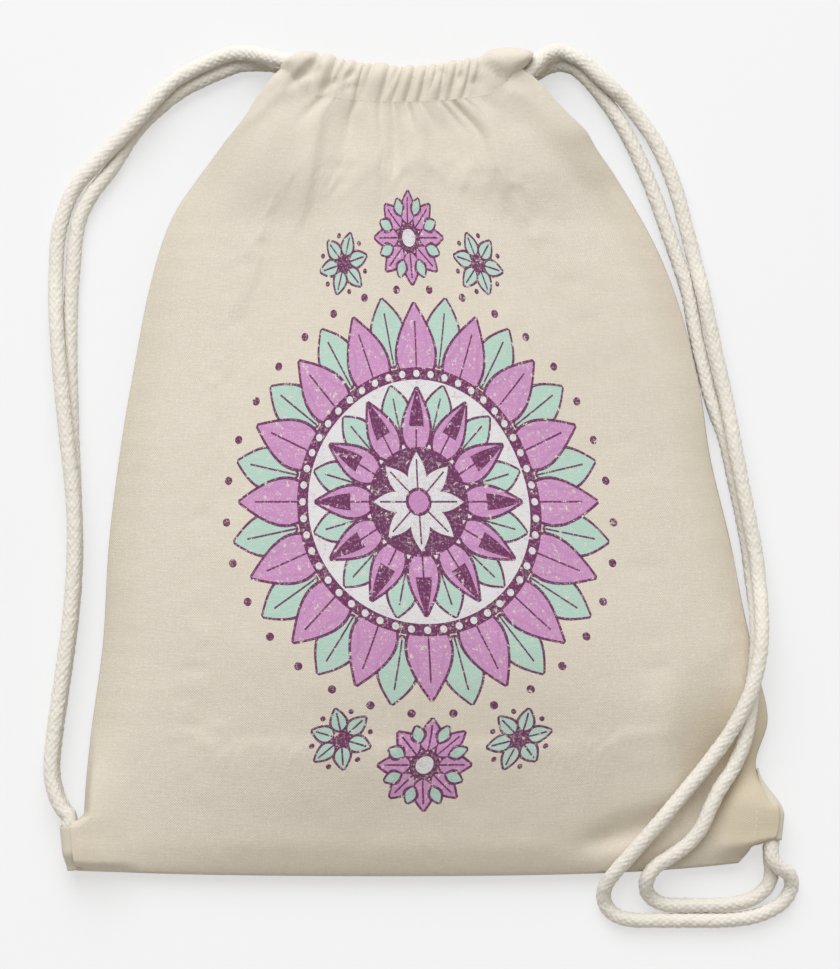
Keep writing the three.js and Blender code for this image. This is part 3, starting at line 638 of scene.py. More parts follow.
def printed_rosette(tree, place, across, up, fuzz, slubs, cloth):
    """A rosette of leaf bands and bead rings with two small ones above and below, in worn ink."""

    def inside(value, edge=0.0):
        return calc(tree, "GREATER_THAN", value, edge)

    def both(*shares):
        share = shares[0]
        for other in shares[1:]:
            share = calc(tree, "MULTIPLY", share, other)
        return share

    def below(value, most):
        return calc(tree, "LESS_THAN", value, most)

    def distance(a, b):
        squares = (calc(tree, "POWER", part, 2) for part in (a, b))
        return calc(tree, "SQRT", calc(tree, "ADD", *squares))

    def polar(x, y):
        return distance(x, y), calc(tree, "ARCTAN2", y, x)

    def folded(angle, count, turn=0.0):
        """How far round from the middle of the nearest of count equal parts, in radians."""
        turns = calc(tree, "MULTIPLY_ADD", angle, count / (2 * math.pi), turn + 0.5)
        off = calc(tree, "SUBTRACT", calc(tree, "FRACT", turns), 0.5)
        return calc(tree, "MULTIPLY", calc(tree, "ABSOLUTE", off), 2 * math.pi / count)

    def leaf(far, angle, count, turn, low, high, half, swell=1.0):
        """Depth inside the nearest leaf of a ring of leaves (positive inside), and its mid-line."""
        share = calc(tree, "DIVIDE", calc(tree, "SUBTRACT", far, low), high - low, clamp=True)
        arc = calc(tree, "SINE", calc(tree, "MULTIPLY", calc(tree, "POWER", share, swell), math.pi))
        off = calc(tree, "MULTIPLY", folded(angle, count, turn), far)
        depth = calc(tree, "SUBTRACT", calc(tree, "MULTIPLY", arc, half), off)
        outline = both(line(depth), inside(arc, 0.02))
        return depth, off, outline

    def line(depth, half=LINE):
        return below(calc(tree, "ABSOLUTE", depth), half)

    def ring(far, radius, half=LINE):
        return line(calc(tree, "SUBTRACT", far, radius), half)

    def bead(far, angle, count, turn, radius, size):
        off = calc(tree, "MULTIPLY", folded(angle, count, turn), far)
        out = calc(tree, "SUBTRACT", far, radius)
        return calc(tree, "SUBTRACT", size, distance(off, out))

    layers = []

    def leaves(far, angle, count, turn, low, high, half, fill, swell=1.0, vein=True, shade=None):
        depth, off, outline = leaf(far, angle, count, turn, low, high, half, swell)
        layers.append((inside(depth), fill))
        if shade:
            outer = inside(calc(tree, "SUBTRACT", far, lerp(low, high, 0.42)))
            heart = inside(calc(tree, "SUBTRACT", depth, off))
            layers.append((both(inside(depth), outer, heart), shade))
        layers.append((outline, "plum"))
        if vein:
            inner = below(far, lerp(low, high, 0.78))
            layers.append((both(inside(depth), inner, below(off, VEIN)), "plum"))

    x = calc(tree, "SUBTRACT", across, PRINT_MIDDLE[0])
    y = calc(tree, "SUBTRACT", up, PRINT_MIDDLE[1])
    far, angle = polar(x, y)
    leaves(far, angle, 16, 0.5, 0.070, 0.108, 0.0110, "mint")
    leaves(far, angle, 16, 0.0, 0.058, 0.104, 0.0125, "pink", swell=0.8)
    layers.append((ring(far, 0.0665, 0.0032), "plum"))
    layers.append((inside(bead(far, angle, 48, 0.0, 0.0665, 0.0019)), "pale"))
    layers.append((below(far, 0.0633), "pale"))
    leaves(far, angle, 12, 0.5, 0.030, 0.0625, 0.0085, "mint", swell=1.2)
    leaves(far, angle, 12, 0.0, 0.024, 0.0600, 0.0088, "pink", swell=0.75, shade="plum")
    layers.append((below(far, 0.0285), "plum"))
    leaves(far, angle, 8, 0.0, 0.0045, 0.0270, 0.0062, "pale", swell=0.8)
    layers.append((below(far, 0.0065), "pink"))
    layers.append((ring(far, 0.0065), "plum"))
    layers.append((inside(bead(far, angle, 32, 0.5, 0.1105, 0.0022)), "plum"))

    y_out = calc(tree, "SUBTRACT", calc(tree, "ABSOLUTE", y), 0.137)
    near, turn = polar(x, y_out)
    leaves(near, turn, 8, 0.0, 0.007, 0.0250, 0.0058, "pink", swell=0.8)
    leaves(near, turn, 8, 0.5, 0.012, 0.0225, 0.0035, "mint", vein=False)
    layers.append((below(near, 0.0078), "plum"))
    layers.append((below(near, 0.0046), "pale"))
    x_out = calc(tree, "SUBTRACT", calc(tree, "ABSOLUTE", x), 0.046)
    y_low = calc(tree, "SUBTRACT", calc(tree, "ABSOLUTE", y), 0.1235)
    close, spin = polar(x_out, y_low)
    leaves(close, spin, 6, 0.25, 0.004, 0.0170, 0.0046, "mint", swell=0.8)
    layers.append((below(close, 0.0046), "plum"))
    layers.append((inside(bead(close, spin, 6, 0.75, 0.0150, 0.0014)), "plum"))

    colour = cloth
    worn = calc(tree, "SUBTRACT", 1.0, above(tree, fuzz, 0.50, 2.2))
    scuff = grain(tree, place, (260, 260, 1), detail=4, roughness=0.75)
    bare = above(tree, scuff, 0.585, 16.0)
    thin = above(tree, slubs, 1.16, 5.0)
    kept = calc(tree, "SUBTRACT", calc(tree, "SUBTRACT", worn, bare), thin, clamp=True)
    for share, ink in layers:
        colour = stain(tree, calc(tree, "MULTIPLY", share, kept), colour, INK[ink])
    return colour


# The front: one panel of printed canvas, its top edge folded over and stitched down as a tunnel hem
# that the cords draw up, so that its gathers fan out below the stitching and die away down the bag.
CLOTH = 0.0008  # thickness
BAG_LENGTH = 0.397  # bottom seam to hem stitching
BOTTOM_Y = -0.20974
HEM_Y = BOTTOM_Y + BAG_LENGTH
HEM_MIDDLE_X = -0.008
HEM_HALF = 0.062
HEM_HEIGHT = 0.0185
HEM_BOW = 0.007
CORNER_X = 0.174
CORNER_LIFT = (0.003, 0.007)  # left, right
SEAM_LEVEL = 0.0068
CROWN_LEVEL = 0.0418
CROWN_AT = 0.36  # share of the length at which the bag is fullest
FRONT_HEM_LEVEL = 0.02415  # middle of the tunnel
TUNNEL = 0.0072  # half the depth of the tunnel with its cords
LANE = 0.0039  # each cord's distance from the middle of the tunnel
HEM_ROOM = 0.0003
RIM_RISE = 0.0030  # the slit's edges at the hem, above the middle of the tunnel
CORNER_RISE = 0.0100  # the panel's top corners, drawn up beside the cords
SLIT_FROM = 0.88  # share of the length at which the side seams stop
EDGE_PUFF = 0.0026  # the cloth's quick rise beside a seam
TAB_TOP = 0.0184  # height of the cloth over the corner tabs
TAB_COVER = {"left": 0.0066, "right": 0.0095}  # how far it laps over them
# How far past a tab's foot, its mouth and its foot again the lift and the lap have died away.
TAB_EASE = {"left": (0.034, 0.060, 0.090), "right": (0.030, 0.021, 0.030)}
TAB_WALL = {"left": 1.9, "right": 1.0}  # how far past its foot the cloth stays upright
TAB_AT = {"left": (0.0, 0.042), "right": (1.0, 0.058)}  # share across and along
FLAT_WIDTH = 0.352
FLAT_PANEL = 0.405
HEM_ARC = 0.021  # cloth from the stitching over to the fold
HEM_SWELL = 0.0012  # how far its ends bulge
INNER_ENDS = (-0.0545, 0.0385)  # of the layer turned inside
INNER_DROP = 0.0016  # that layer's depth below the stitching
HOLLOW_DEPTH = 0.0120  # of the sunken cloth at the lower right, under the cord
PANEL_ROWS = 171
HEM_ROWS = 16  # each side of the fold
COLUMNS_PER_GATHER = 10
EDGE_COLUMNS = 18  # crowded towards the side seams
VALLEY_FLOOR = 0.0023  # deepest that the valleys between gathers go
GATHER_BULGE = 0.26  # height of the ridges as a share of their width
RIDGE_MOST = 0.0030
SETTLE_EVERY = 2  # grid points between those simulated
SETTLE_EXTRA = 0.0028  # how much too large the cloth is
SETTLE_GRAVITY = 0.15
SETTLE_FRAMES = 20
SETTLE_MOST = 0.0012
SETTLE_CLOTH = {
    "quality": 6, "mass": 0.02, "pin_stiffness": 1.0, "air_damping": 4, "shear_stiffness": 6,
    "tension_stiffness": 18, "compression_stiffness": 18, "bending_stiffness": 0.3,
    "tension_damping": 12, "compression_damping": 12,
    "shrink_min": -SETTLE_EXTRA, "shrink_max": -SETTLE_EXTRA,
}
SEAM_RIPPLE = 0.0002  # waves that sewing leaves along the seams
SHADE_BOTTOM, SHADE_EDGE, SHADE_SIDE_FOLD = 0.10, 0.17, 0.085  # how dark the painted shade makes the cloth where it turns from the light
SHADE_WEDGE, SHADE_LOW_WEDGE, SHADE_CORNER = 0.33, 0.15, 0.60  # the same at the lower right
LEFT_SIDE = [
    (0, 0.976), (0.068, 1), (0.171, 0.971), (0.3, 0.907), (0.431, 0.877), (0.559, 0.817),
    (0.665, 0.748), (0.768, 0.668), (0.851, 0.558), (0.924, 0.349), (0.975, 0.163), (1, 0.023),
]
RIGHT_SIDE = [
    (0, 0.908), (0.016, 0.952), (0.035, 0.983), (0.068, 1), (0.139, 0.983), (0.196, 1.034),
    (0.262, 0.992), (0.34, 0.933), (0.431, 0.875), (0.539, 0.79), (0.637, 0.739), (0.741, 0.65),
    (0.819, 0.542), (0.897, 0.384), (0.93, 0.3), (0.957, 0.233), (0.985, 0.079), (1, -0.021),
]
# The fold at the top of the hem, and the gathers: where each valley leaves the fold, how far it
# runs down, its depth, its half width and how far it leans out of line on the way.
FOLD_LINE = [
    (-0.072, 0.2095), (-0.067, 0.2108), (-0.057, 0.2124), (-0.047, 0.2112), (-0.038, 0.2090),
    (-0.028, 0.2076), (-0.017, 0.2066), (-0.008, 0.2058), (0.001, 0.2060), (0.010, 0.2072),
    (0.019, 0.2092), (0.027, 0.2106), (0.034, 0.2128), (0.041, 0.2138), (0.048, 0.2138),
    (0.054, 0.2132), (0.06, 0.2124),
]
FOLD_ENDS = (-0.0672, 0.0570)
PLEATS = [
    (-0.0517, 0.009, 0.0020, 0.0016, -0.002), (-0.0428, 0.026, 0.0028, 0.0015, -0.003),
    (-0.0386, 0.021, 0.0021, 0.0013, -0.004), (-0.0325, 0.008, 0.0020, 0.0014, -0.002),
    (-0.0290, 0.032, 0.0019, 0.0011, 0.002), (-0.0251, 0.019, 0.0021, 0.0015, -0.002),
    (-0.0158, 0.034, 0.0024, 0.0013, 0.000), (-0.0118, 0.011, 0.0017, 0.0011, -0.002),
    (-0.0089, 0.020, 0.0021, 0.0012, -0.001), (-0.0029, 0.032, 0.0026, 0.0014, 0.000),
    (0.0031, 0.026, 0.0021, 0.0013, 0.002), (0.0080, 0.009, 0.0020, 0.0013, 0.002),
    (0.0124, 0.030, 0.0020, 0.0013, 0.003), (0.0184, 0.036, 0.0025, 0.0014, 0.002),
    (0.0214, 0.011, 0.0016, 0.0010, 0.001), (0.0256, 0.021, 0.0019, 0.0013, 0.001),
    (0.0296, 0.022, 0.0030, 0.0021, 0.004),
]
# Soft folds in the panel, each drawn from its upper end: from, to, half width, height above the panel
# (a valley is negative), and how much steeper its right flank is than its left.
FRONT_FOLDS = [
    ((-0.050, 0.193), (-0.061, 0.132), 0.0080, 0.0026, 2.2),
    ((-0.037, 0.190), (-0.042, 0.135), 0.0085, -0.0020, 1.0),
    ((-0.0235, 0.190), (-0.0245, 0.136), 0.0060, 0.0020, 1.6),
    ((-0.0138, 0.190), (-0.0135, 0.150), 0.0036, -0.0021, 1.0),
    ((-0.002, 0.190), (-0.001, 0.138), 0.0075, 0.0018, 1.6),
    ((0.012, 0.190), (0.026, 0.130), 0.0085, -0.0024, 0.6),
    ((0.030, 0.190), (0.047, 0.133), 0.0060, 0.0021, 1.5),
    ((0.040, 0.193), (0.094, 0.138), 0.0090, -0.0032, 0.5),
    ((0.084, 0.150), (0.140, 0.040), 0.0090, -0.0048, 0.5),
    ((0.058, 0.190), (0.106, 0.134), 0.0090, 0.0016, 1.0),
    ((0.104, 0.142), (0.154, 0.040), 0.0090, 0.0018, 1.0),
    ((-0.064, 0.188), (-0.106, 0.128), 0.0085, 0.0018, 0.5),
    ((0.1265, -0.108), (0.1285, -0.168), 0.0150, 0.0026, 4.0),
    ((0.138, -0.174), (0.079, -0.198), 0.0080, -0.0060, 1.0),
    ((0.118, -0.190), (0.070, -0.203), 0.0060, 0.0014, 1.0),
    ((0.1490, -0.1730), (0.1620, -0.1820), 0.0026, 0.0030, 1.0),
    ((0.1600, -0.1795), (0.1655, -0.1930), 0.0026, 0.0028, 1.0),
    ((0.080, -0.196), (-0.150, -0.194), 0.0080, 0.0009, 1.0),
]
# The line down the upper right, as (y, x), beside which painted shade darkens the cloth.
SIDE_FOLD = [
    (0.040, 0.128), (0.077, 0.117), (0.100, 0.112), (0.140, 0.085), (0.169, 0.063), (0.190, 0.050),
]

# Puckers that run across the hem.
HEM_FOLDS = [
    ((-0.0540, 0.2085), (-0.0672, 0.1952), 0.0021, -0.0036, 1.0),
    ((-0.0515, 0.2042), (-0.0612, 0.1996), 0.0017, -0.0024, 1.0),
    ((-0.0425, 0.1985), (-0.0515, 0.1935), 0.0016, -0.0016, 1.0),
    ((-0.0340, 0.2020), (-0.0405, 0.1984), 0.0015, -0.0020, 1.0),
    ((-0.0400, 0.1945), (-0.0320, 0.1950), 0.0017, -0.0010, 1.0),
    ((0.0085, 0.2040), (0.0130, 0.1995), 0.0013, -0.0016, 1.0),
    ((0.0190, 0.2020), (0.0195, 0.1970), 0.0020, -0.0016, 1.0),
    ((0.0290, 0.1985), (0.0245, 0.1965), 0.0015, -0.0018, 1.0),
    ((0.0310, 0.2080), (0.0450, 0.1950), 0.0026, -0.0026, 1.0),
    ((-0.0655, 0.1972), (-0.0960, 0.1725), 0.0030, 0.0009, 1.0),
    ((0.0340, 0.2020), (0.0560, 0.1870), 0.0030, 0.0012, 1.0),
]


def reach_along(table, along):
    """A smooth line through a table of (share of the length, share of the way out to the corner)."""
    at, reach = np.array(table, float).T
    order = np.arange(len(at))
    after, before = np.minimum(order + 1, len(at) - 1), np.maximum(order - 1, 0)
    slope = (reach[after] - reach[before]) / (at[after] - at[before])
    i = np.clip(np.searchsorted(at, along, side="right") - 1, 0, len(at) - 2)
    span = at[i + 1] - at[i]
    u = (along - at[i]) / span
    return (
        (2 * u**3 - 3 * u**2 + 1) * reach[i]
        + (u**3 - 2 * u**2 + u) * span * slope[i]
        + (3 * u**2 - 2 * u**3) * reach[i + 1]
        + (u**3 - u**2) * span * slope[i + 1]
    )


def plan(across, along):
    """Where a share across and a share along the bag lie on the floor."""
    left = lerp(HEM_MIDDLE_X - HEM_HALF, -CORNER_X, reach_along(LEFT_SIDE, along))
    right = lerp(HEM_MIDDLE_X + HEM_HALF, CORNER_X, reach_along(RIGHT_SIDE, along))
    corner = CORNER_LIFT[0] * (1 - across) ** 6 + CORNER_LIFT[1] * across**6
    bow = HEM_BOW * (2 * across - 1) ** 2
    y = BOTTOM_Y + BAG_LENGTH * along + corner * (1 - along) ** 4 + bow * along**6
    return lerp(left, right, across), y


def stitch_line(x):
    """The height and the slope of the hem's stitching at x."""
    off = (x - HEM_MIDDLE_X) / HEM_HALF
    return HEM_Y + HEM_BOW * off**2, 2 * HEM_BOW * off / HEM_HALF


pleats = np.array(PLEATS)
fold_width = FOLD_ENDS[1] - FOLD_ENDS[0]
pleat_shares = (pleats[:, 0] - FOLD_ENDS[0]) / fold_width
knots = np.concatenate([[0], pleat_shares, [1]])
gather_rng = np.random.default_rng(11)
ridge_heights = GATHER_BULGE * np.diff(knots) * fold_width
ridge_heights = np.minimum(ridge_heights * gather_rng.uniform(0.7, 1.25, len(knots) - 1), RIDGE_MOST)
ridge_reaches = gather_rng.uniform(0.014, 0.030, len(knots) - 1)


def fold_line(x):
    """How far up the bag the fold of the hem lies at x."""
    at, height = np.array(FOLD_LINE).T
    smooth_x = x[..., None] + np.linspace(-0.004, 0.004, 5)
    return np.interp(smooth_x, at, height).mean(-1)


def over_hem_cords(x, y):
    """How far from the middle of the tunnel the cloth has to stay to clear the cords in it."""
    reach = CORD / 2 + CLOTH + 0.0002
    beyond = np.maximum(np.abs(y - stitch_line(x)[0] - HEM_ROOM - HEM_HEIGHT / 2) - LANE, 0)
    clear = np.sqrt(np.maximum(reach**2 - beyond**2, 0)) - 1000 * (beyond >= reach)
    return np.where((x > -0.0645) & (x < 0.0485), clear, -1000)


def gathers(across, from_top):
    """Rounded ridges between narrow valleys, each dying away at its own distance below the fold."""
    i = np.clip(np.searchsorted(knots, across, side="right") - 1, 0, len(knots) - 2)
    u = (across - knots[i]) / (knots[i + 1] - knots[i])
    fade = 1 - smoothstep(from_top, 0.3 * ridge_reaches[i], ridge_reaches[i])
    height = ridge_heights[i] * np.sqrt(np.clip(4 * u * (1 - u), 0, 1)) * fade
    deep = 0
    for share, (_, length, depth, half, lean) in zip(pleat_shares, pleats):
        run = from_top / (1.25 * length)
        off = ((across - share) * fold_width - lean * run) / (half * (1 + 0.6 * run))
        deep = deep + depth * np.exp(-(np.abs(off) ** 1.6)) * (1 - smoothstep(run, 0.45, 1.25))
    return height - VALLEY_FLOOR * np.tanh(deep / VALLEY_FLOOR)


def fold_heights(x, y, folds):
    height = np.zeros_like(x)
    for (x0, y0), (x1, y1), width, rise, steeper in folds:
        length = math.hypot(x1 - x0, y1 - y0)
        ax, ay = (x1 - x0) / length, (y1 - y0) / length
        run = ((x - x0) * ax + (y - y0) * ay) / length
        off = ((x - x0) * -ay + (y - y0) * ax) / width
        off *= np.where(off > 0, steeper, 1)
        ends = smoothstep(run, -0.12, 0.20) * (1 - smoothstep(run, 0.62, 1.22))
        height += rise * ends * np.exp(-(off**2))
    return height


def crumple(x, y, scale, seed, octaves=3):
    offset = Vector((seed * 7.31, seed * 3.17, seed * 1.93))
    values = [
        noise.fractal(Vector((a * scale, b * scale, 0)) + offset, 1.0, 2.0, octaves)
        for a, b in zip(x.ravel(), y.ravel())
    ]
    return np.array(values).reshape(x.shape)


def under_cords(x, y, z, routes, room):
    """Keeps a cloth below the cords that lie on it, in soft troughs."""
    reach = CORD / 2 + room
    blur = 0.0012
    for route in routes:
        tree = KDTree(len(route))
        for i, point in enumerate(route):
            tree.insert((point[0], point[1], 0), i)
        tree.balance()
        low, high = route.min(0) - 0.03, route.max(0) + 0.03
        near = (x > low[0]) & (x < high[0]) & (y > low[1]) & (y < high[1])
        for r, c in zip(*np.nonzero(near)):
            _, i, off = tree.find((x[r, c], y[r, c], 0))
            beside = math.sqrt(reach**2 - off**2) if off < reach else (reach - off) * 1.1
            gap = z[r, c] - (route[i][2] - beside)
            z[r, c] += 0.5 * (gap - math.sqrt(gap * gap + blur * blur)) - gap
    return z


def cloth_object(name, points, flat, material, outward=True):
    rows, columns = points.shape[:2]
    index = np.arange(rows * columns).reshape(rows, columns)
    corners = [index[:-1, :-1], index[:-1, 1:], index[1:, 1:], index[1:, :-1]]
    faces = np.stack(corners if outward else corners[::-1], -1).reshape(-1, 4)
    mesh = bpy.data.meshes.new(name)
    mesh.from_pydata(points.reshape(-1, 3).tolist(), [], faces.tolist())
    mesh.shade_smooth()
    mesh.attributes.new("flat", "FLOAT_VECTOR", "POINT").data.foreach_set(
        "vector", np.ascontiguousarray(flat, np.float32).ravel()
    )
    mesh.materials.append(material)
    return add_object(name, mesh)


def thicken(piece, thickness=CLOTH, offset=-1):
    wall = piece.modifiers.new("thickness", "SOLIDIFY")
    wall.thickness = thickness
    wall.offset = offset


def hem_rows(across, seat_y, seat_rise, level, side, depth, puff, ends):
    """The tunnel hem, from its stitching over the fold and back down inside, as rows of points."""
    (left_low, left_top, right_low, right_top, bulge), (left_in, right_in) = ends
    fold_x = lerp(left_top, right_top, across)
    plain_y = fold_line(fold_x)
    fold_y = plain_y + 0.6 * puff * gathers(across, 0 * across)
    curl = 0.0016 * (1 - smoothstep(np.minimum(across, 1 - across), 0, 0.022))
    seat_x = lerp(left_low, right_low, across)
    seat = gathers(across, plain_y - seat_y) + fold_heights(seat_x, seat_y, HEM_FOLDS)
    seat = seat_rise + puff * seat
    rows, lengths = [], []
    for degrees in np.linspace(-90, 90, HEM_ROWS + 1)[1:]:
        up, out = 0.5 + 0.5 * math.sin(math.radians(degrees)), math.cos(math.radians(degrees))
        swell = bulge * 4 * up * (1 - up)
        x = lerp(lerp(left_low, left_top, up) - swell, lerp(right_low, right_top, up) + swell, across)
        y = lerp(seat_y, fold_y, up)
        rolled = depth if degrees < 0 else depth * out**0.84
        raised = puff * gathers(across, (plain_y - seat_y) * (1 - up))
        off = lerp(seat_rise, rolled, smoothstep(up, 0, 0.6)) - curl * smoothstep(up, 0.1, 0.4)
        off = off + raised * (1 - 0.75 * smoothstep(up, 0.75, 1.0))
        off = off + puff * fold_heights(x, y, HEM_FOLDS) * (1 - smoothstep(up, 0.7, 1.0))
        off = np.maximum(off, over_hem_cords(x, y))
        rows.append(np.stack([x, y, level + side * off], -1))
        lengths.append(HEM_ARC * (degrees + 90) / 180)
    for down in np.linspace(0, 1, HEM_ROWS + 1)[1:]:
        cut = smoothstep(down, 0.0, 0.3)
        x = lerp(lerp(left_top, left_in, cut), lerp(right_top, right_in, cut), across)
        below_seat = np.interp(x, seat_x, seat) - INNER_DROP
        off = lerp(0, below_seat, down**2) - depth * math.sin(math.pi * down**0.8) ** 0.6
        y = lerp(fold_y, np.minimum(seat_y, stitch_line(x)[0]), down)
        rows.append(np.stack([x, y, level + side * off], -1))
        lengths.append(HEM_ARC + HEM_HEIGHT * down)
    return np.array(rows), np.array(lengths)


column_shares = np.concatenate(
    [knots[1] * np.linspace(0, 1, EDGE_COLUMNS, endpoint=False) ** 1.6]
    + [np.linspace(a, b, COLUMNS_PER_GATHER, endpoint=False) for a, b in zip(knots[1:-2], knots[2:-1])]
    + [1 - (1 - knots[-2]) * np.linspace(1, 0, EDGE_COLUMNS) ** 1.6]
)
row_shares = np.linspace(0, 1, PANEL_ROWS)
across, along = np.meshgrid(column_shares, 0.72 * row_shares + 0.28 * smoothstep(row_shares, 0, 1))

x, y = plan(across, along)
top_corners = 1 - smoothstep(np.minimum(across, 1 - across), 0, 0.14)
y = y + CORNER_RISE * top_corners * smoothstep(along, 0.955, 1) ** 1.5
hem_share = smoothstep(along, SLIT_FROM, 1)
seam = SEAM_LEVEL + CLOTH
climb = np.sin(np.pi / 2 * np.minimum(along / CROWN_AT, 1)) ** 0.96
top = lerp(CROWN_LEVEL, FRONT_HEM_LEVEL + TUNNEL, smoothstep(along, CROWN_AT, 1))
fullness = 1 - np.abs(2 * across - 1) ** lerp(2.2, 7.0, smoothstep(along, 0.84, 1))
z = lerp(lerp(seam, FRONT_HEM_LEVEL + RIM_RISE, hem_share), lerp(seam, top, climb), fullness)
(left_edge, _), (right_edge, _) = plan(across * 0, along), plan(across * 0 + 1, along)
beside_seam = (1 - np.exp((left_edge - x) / 0.004)) * (1 - np.exp((x - right_edge) / 0.004))
z += EDGE_PUFF * beside_seam * (1 - np.exp(-along * BAG_LENGTH / 0.004)) * (1 - hem_share)

gathered = gathers(across, fold_line(lerp(*FOLD_ENDS, across)) - y)
z += gathered
held = np.clip(4 * across * (1 - across), 0, 1) ** 0.5 * smoothstep(along, 0, 0.05)
ripple_share = 1 - 0.6 * smoothstep(along, 0.96, 1)
z += held * fold_heights(x, y, FRONT_FOLDS) * ripple_share
z += fold_heights(x, y, HEM_FOLDS) * smoothstep(along, 0.80, 0.90)
z += held * ripple_share * (0.0010 * crumple(x, y, 15, seed=1) + 0.00020 * crumple(x, y, 70, seed=2))
fall = (x - 0.1292) / 0.020
fall = np.minimum(0.5 * (fall + np.sqrt(fall**2 + 0.005)), 1.2) * (1 - smoothstep(x, 0.152, 0.173))
lower = np.clip((-0.104 - y + 0.5 * (x - 0.129)) / 0.056, 0, 1.1)
hollow = fall * lower * smoothstep(y, -0.188, -0.166)
z -= held * HOLLOW_DEPTH * hollow
for side, (s_edge, at) in TAB_AT.items():
    root_y = plan(s_edge, at)[1]
    past = (y - root_y) * (1 if side == "left" else -1)  # towards the mouth of the tab
    foot_ease, mouth_ease, lap_ease = TAB_EASE[side]
    lift = smoothstep(past, -foot_ease, -0.007) * (1 - smoothstep(past, 0.0095, mouth_ease))
    lap = smoothstep(past, -lap_ease, -0.007) * (1 - smoothstep(past, 0.0075, 0.0135))
    edge_x = plan(s_edge, along)[0]
    inside = np.where(np.abs(across - s_edge) < 0.5, np.abs(x - edge_x), 1)
    short = TAB_TOP - z
    upright = 1 - smoothstep(np.maximum(past, -past / TAB_WALL[side]), 0.008, 0.012)
    wall = lerp(smoothstep(inside, 0, 0.004), 1, upright) * smoothstep(along * BAG_LENGTH, 0, 0.005)
    covered = (1 - smoothstep(inside, 0.008, 0.028)) * lift * wall
    z += 0.5 * (short + np.sqrt(short**2 + 0.002**2)) * covered
    outwards = TAB_COVER[side] * (1 if s_edge else -1)
    x = x + outwards * (1 - smoothstep(inside, 0, 0.016)) * lap
run = along * BAG_LENGTH
to_edge = np.minimum(x - left_edge, right_edge - x)
ripple = np.sin(run * 420 + 3 * np.sin(run * 60)) * np.exp(-to_edge / 0.012)
z += SEAM_RIPPLE * ripple * (beside_seam * (1 - hem_share))
tails = []
for route in right_routes:
    to_end = lengths_along(route)[-1] - lengths_along(route)
    tails.append(route[(route[:, 0] > 0.09) & (route[:, 1] < -0.045) & (to_end > 0.035)])
z = np.maximum(under_cords(x, y, z, tails, room=0.0008), seam)
z = np.maximum(z, FRONT_HEM_LEVEL + over_hem_cords(x, y))
panel_points = np.stack([x, y, z], -1)
seat_rise = z[-1] - FRONT_HEM_LEVEL - gathered[-1] - fold_heights(x[-1], y[-1], HEM_FOLDS)


def settled(points, loose):
    """The cloth after a short simulation in which it is a little too large for its seams and sags into
    its own wrinkles: points on a grid, moved by at most SETTLE_MOST and only where they are loose."""
    rows = np.unique(np.append(np.arange(0, points.shape[0], SETTLE_EVERY), points.shape[0] - 1))
    columns = np.unique(np.append(np.arange(0, points.shape[1], SETTLE_EVERY), points.shape[1] - 1))
    coarse = points[np.ix_(rows, columns)]
    blank = bpy.data.materials.new("settling")
    model = cloth_object("settling", coarse, coarse, blank)
    held_points = model.vertex_groups.new(name="held")
    for i, share in enumerate(loose[np.ix_(rows, columns)].ravel()):
        held_points.add([i], 1 - share, "REPLACE")
    cloth = model.modifiers.new("settling", "CLOTH")
    cloth.settings.vertex_group_mass = held_points.name
    for name, value in SETTLE_CLOTH.items():
        setattr(cloth.settings, name, value)
    cloth.settings.effector_weights.gravity = SETTLE_GRAVITY
    cloth.collision_settings.use_collision = False
    cloth.point_cache.frame_start, cloth.point_cache.frame_end = 1, SETTLE_FRAMES
    for frame in range(1, SETTLE_FRAMES + 1):
        scene.frame_set(frame)
    moved = model.evaluated_get(bpy.context.evaluated_depsgraph_get()).data
    spots = np.array([vertex.co for vertex in moved.vertices]).reshape(coarse.shape)
    model.modifiers.remove(cloth)
    bpy.data.objects.remove(model)
    bpy.data.materials.remove(blank)
    scene.frame_set(1)
    drift = spots - coarse
    far = np.linalg.norm(drift, axis=-1, keepdims=True)
    drift *= np.minimum(1, SETTLE_MOST / np.maximum(far, 1e-9))
    for known, axis in ((columns, 1), (rows, 0)):
        wanted = np.arange(points.shape[axis])
        drift = np.apply_along_axis(lambda line: np.interp(wanted, known, line), axis, drift)
    return points + drift * loose[..., None]


loose = smoothstep(to_edge, 0.020, 0.06) * smoothstep(y - BOTTOM_Y, 0.010, 0.09)
loose *= 1 - smoothstep(along, 0.90, 0.97)
for route in tails:
    for spot in route[::12]:
        loose *= smoothstep(np.hypot(x - spot[0], y - spot[1]), 0.010, 0.030)
panel_points = settled(panel_points, loose)
hem_points, hem_lengths = hem_rows(
    across[0], y[-1], seat_rise, FRONT_HEM_LEVEL, 1, TUNNEL, 1.0,
    ends=((x[-1, 0], FOLD_ENDS[0], x[-1, -1], FOLD_ENDS[1], HEM_SWELL), INNER_ENDS),
)
front_points = np.concatenate([panel_points, hem_points])
flat_up = np.concatenate([along[:, 0] * FLAT_PANEL, FLAT_PANEL + hem_lengths])
grid = front_points.shape[:2]
flat_grid = np.stack(
    [
        np.broadcast_to((column_shares - 0.5) * FLAT_WIDTH, grid),
        np.broadcast_to(flat_up[:, None], grid),
        np.zeros(grid),
    ],
    -1,
)
front = cloth_object("front_cloth", front_points, flat_grid, canvas_cloth("front_canvas", printed=True))
thicken(front)
# Painted shade: darker along the bottom and the side edges, beside the fold down the upper right and
# over the lower right corner, where the cloth turns from the light or lies in the cords' shadow.
low_run = run - 0.022 * smoothstep(x, 0.05, 0.11)
painted_shade = SHADE_BOTTOM * (1 - smoothstep(low_run, 0.006, 0.034))
painted_shade += SHADE_EDGE * (1 - smoothstep(to_edge, 0.003, 0.022)) * (1 - hem_share)
beside_fold = smoothstep(x - np.interp(y, *np.transpose(SIDE_FOLD)), -0.003, 0.006)
painted_shade += SHADE_SIDE_FOLD * beside_fold * smoothstep(y, 0.045, 0.080) * (1 - smoothstep(y, 0.160, 0.190))
wedge = smoothstep(x, 0.120, 0.142) * smoothstep(-y, 0.098, 0.135) * (1 - smoothstep(-y, 0.186, 0.206))
